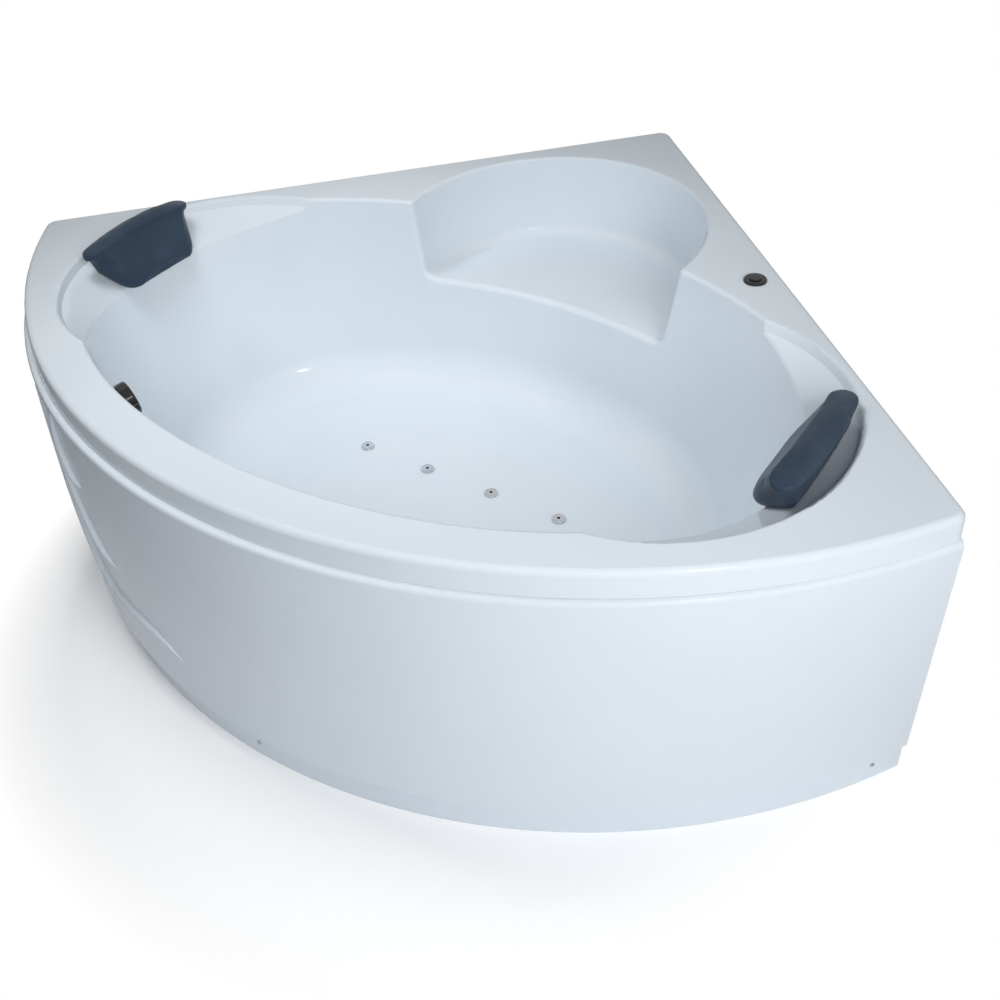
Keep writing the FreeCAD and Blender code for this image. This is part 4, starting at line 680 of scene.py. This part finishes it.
@dataclass
class Support:
    """The steel frame, its levelling feet, and the boards laid under the acrylic."""

    paint: PowderCoat = PowderCoat("frame_powder")
    zinc: ZincedSteel = ZincedSteel("foot_zinc", spangles_per_metre=420.0)
    board: ResinedBoard = ResinedBoard("resined_board")

    def build(self) -> None:
        """Dresses the frame, feet and boards."""
        rails = [f"frame_{name}" for name in ("rear_rail", "front_rail", "left_rail", "right_rail", "spine")]
        posts = ["corner_post", "rear_post_left", "rear_post_right", "front_post_left", "front_post_right",
                 "seat_post"]
        dress(self.paint.make(), *rails, *posts)
        dress(self.zinc.make(), *(f"foot_{number}" for number in range(1, 7)), "foot_nuts")
        dress(self.board.make(), "base_board", "seat_pad")


# ---- studio -------------------------------------------------------------------------------
@dataclass(frozen=True)
class Lamp:
    """A soft box: a lit panel that looks at a point."""

    name: str
    place: Place
    aim: Place
    width: float
    height: float
    watts: float
    glossy: bool = True
    spread: float = 180.0

    def hang(self) -> None:
        """Adds the lamp to the scene."""
        data = bpy.data.lights.new(self.name, "AREA")
        data.shape = "RECTANGLE"
        data.size, data.size_y = self.width, self.height
        data.energy = self.watts
        data.spread = math.radians(self.spread)
        lamp = bpy.data.objects.new(self.name, data)
        bpy.context.scene.collection.objects.link(lamp)
        lamp.visible_glossy = self.glossy
        lamp.location = self.place
        lamp.rotation_euler = (Vector(self.aim) - Vector(self.place)).to_track_quat("-Z", "Y").to_euler()


@dataclass
class Studio:
    """A white floor that runs out to white, soft boxes and an even sky."""

    floor_half: float = 9.0
    brightness: float = 1.15
    shadow_reach: float = 0.80
    shadow_fade: float = 0.17
    sky: Colour = (0.90, 0.94, 1.0)
    sky_strength: float = 0.14
    sky_gloss: float = 0.55
    lamps: list[Lamp] = field(default_factory=lambda: [
        Lamp("well_box", (-0.6, 0.5, 2.4), (0.08, -0.04, 0.25), 0.9, 0.9, 5.4, glossy=False, spread=75.0),
        Lamp("front_box", (0.6, -2.6, 1.9), (0.05, 0.0, 0.5), 2.0, 1.4, 23.0, glossy=False, spread=110.0),
        Lamp("spark", (0.5, -2.2, 2.4), (0.0, 0.0, 0.4), 0.3, 0.3, 4.0),
    ])

    def lay_floor(self) -> None:
        """Lays the floor, which takes the bath's shadow near it and is white beyond."""
        work = bmesh.new()
        bmesh.ops.create_grid(work, x_segments=1, y_segments=1, size=self.floor_half)
        mesh = bpy.data.meshes.new("studio_floor")
        work.to_mesh(mesh)
        work.free()
        floor = bpy.data.objects.new("studio_floor", mesh)
        bpy.context.scene.collection.objects.link(floor)
        recipe = Recipe("studio_floor")
        length = recipe.node("ShaderNodeVectorMath", {"operation": "LENGTH"}, {0: recipe.place})
        away = Reading(recipe, length.outputs["Value"])
        far = recipe.spread(away, self.shadow_reach, self.shadow_reach + self.shadow_fade)
        seen = Reading(recipe, recipe.node("ShaderNodeLightPath", {}, {}).outputs["Is Camera Ray"])
        glow = recipe.node("ShaderNodeEmission", {}, {"Color": (*WHITE, 1.0), "Strength": 1.0})
        paint = (*(share * self.brightness for share in WHITE), 1.0)
        bright = recipe.node("ShaderNodeBsdfDiffuse", {}, {"Color": paint})
        near = recipe.node("ShaderNodeMixShader", {},
                           {0: seen, 1: recipe.shader.outputs[0], 2: bright.outputs[0]})
        mixed = recipe.node("ShaderNodeMixShader", {},
                            {0: far * seen, 1: near.outputs[0], 2: glow.outputs[0]})
        recipe.tree.links.new(mixed.outputs[0], recipe.output.inputs["Surface"])
        mesh.materials.append(recipe.done({"Base Color": (0.93, 0.94, 0.96, 1.0), "Roughness": 0.9,
                                           "Specular IOR Level": 0.0}))

    def open_sky(self) -> None:
        """Sets the world: an even soft light, seen as plain white, and dimmer in what shines."""
        world = bpy.data.worlds.new("studio_sky")
        bpy.context.scene.world = world
        world.use_nodes = True
        tree = world.node_tree
        tree.nodes.clear()
        output = tree.nodes.new("ShaderNodeOutputWorld")
        path = tree.nodes.new("ShaderNodeLightPath")
        soft = tree.nodes.new("ShaderNodeBackground")
        soft.inputs["Color"].default_value = (*self.sky, 1.0)
        soft.inputs["Strength"].default_value = self.sky_strength
        plain = tree.nodes.new("ShaderNodeBackground")
        plain.inputs["Color"].default_value = (*WHITE, 1.0)
        either = tree.nodes.new("ShaderNodeMath")
        either.operation = "MAXIMUM"
        any_of = tree.nodes.new("ShaderNodeMath")
        any_of.operation = "MAXIMUM"
        mixed = tree.nodes.new("ShaderNodeMixShader")
        tree.links.new(path.outputs["Is Camera Ray"], either.inputs[0])
        dimmed = tree.nodes.new("ShaderNodeMath")
        dimmed.operation = "MULTIPLY"
        dimmed.inputs[1].default_value = self.sky_gloss
        tree.links.new(path.outputs["Is Glossy Ray"], dimmed.inputs[0])
        tree.links.new(dimmed.outputs[0], either.inputs[1])
        tree.links.new(either.outputs[0], any_of.inputs[0])
        tree.links.new(path.outputs["Is Transmission Ray"], any_of.inputs[1])
        tree.links.new(any_of.outputs[0], mixed.inputs[0])
        tree.links.new(soft.outputs[0], mixed.inputs[1])
        tree.links.new(plain.outputs[0], mixed.inputs[2])
        tree.links.new(mixed.outputs[0], output.inputs["Surface"])

    def build(self) -> None:
        """Sets the studio up."""
        self.lay_floor()
        self.open_sky()
        for lamp in self.lamps:
            lamp.hang()
        bpy.context.scene.view_settings.view_transform = "Standard"


@dataclass
class Viewpoint:
    """Where the photographer stood, above the front of the bath."""

    place: Place = (-0.10750, -1.86965, 1.79109)
    turn: Place = (49.66693, 3.67432, -11.30880)
    lens: float = 41.822
    sensor: float = 36.0

    def build(self) -> None:
        """Sets the camera."""
        data = bpy.data.cameras.new("camera")
        data.lens = self.lens
        data.sensor_width = self.sensor
        camera = bpy.data.objects.new("camera", data)
        bpy.context.scene.collection.objects.link(camera)
        camera.location = self.place
        camera.rotation_euler = Euler([math.radians(angle) for angle in self.turn], "XYZ")
        bpy.context.scene.camera = camera


def main() -> None:
    """Builds the sub-assemblies in order, then the studio and the camera."""
    logging.basicConfig(level=logging.INFO, format="%(name)s: %(message)s")
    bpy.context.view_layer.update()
    for part in (Bath(), Headrests(), AirSwitch(), AirSystem(), Waste(), Support(), Studio(), Viewpoint()):
        part.build()
        log.info("%s is done", type(part).__name__)


if __name__ == "__main__":
    main()
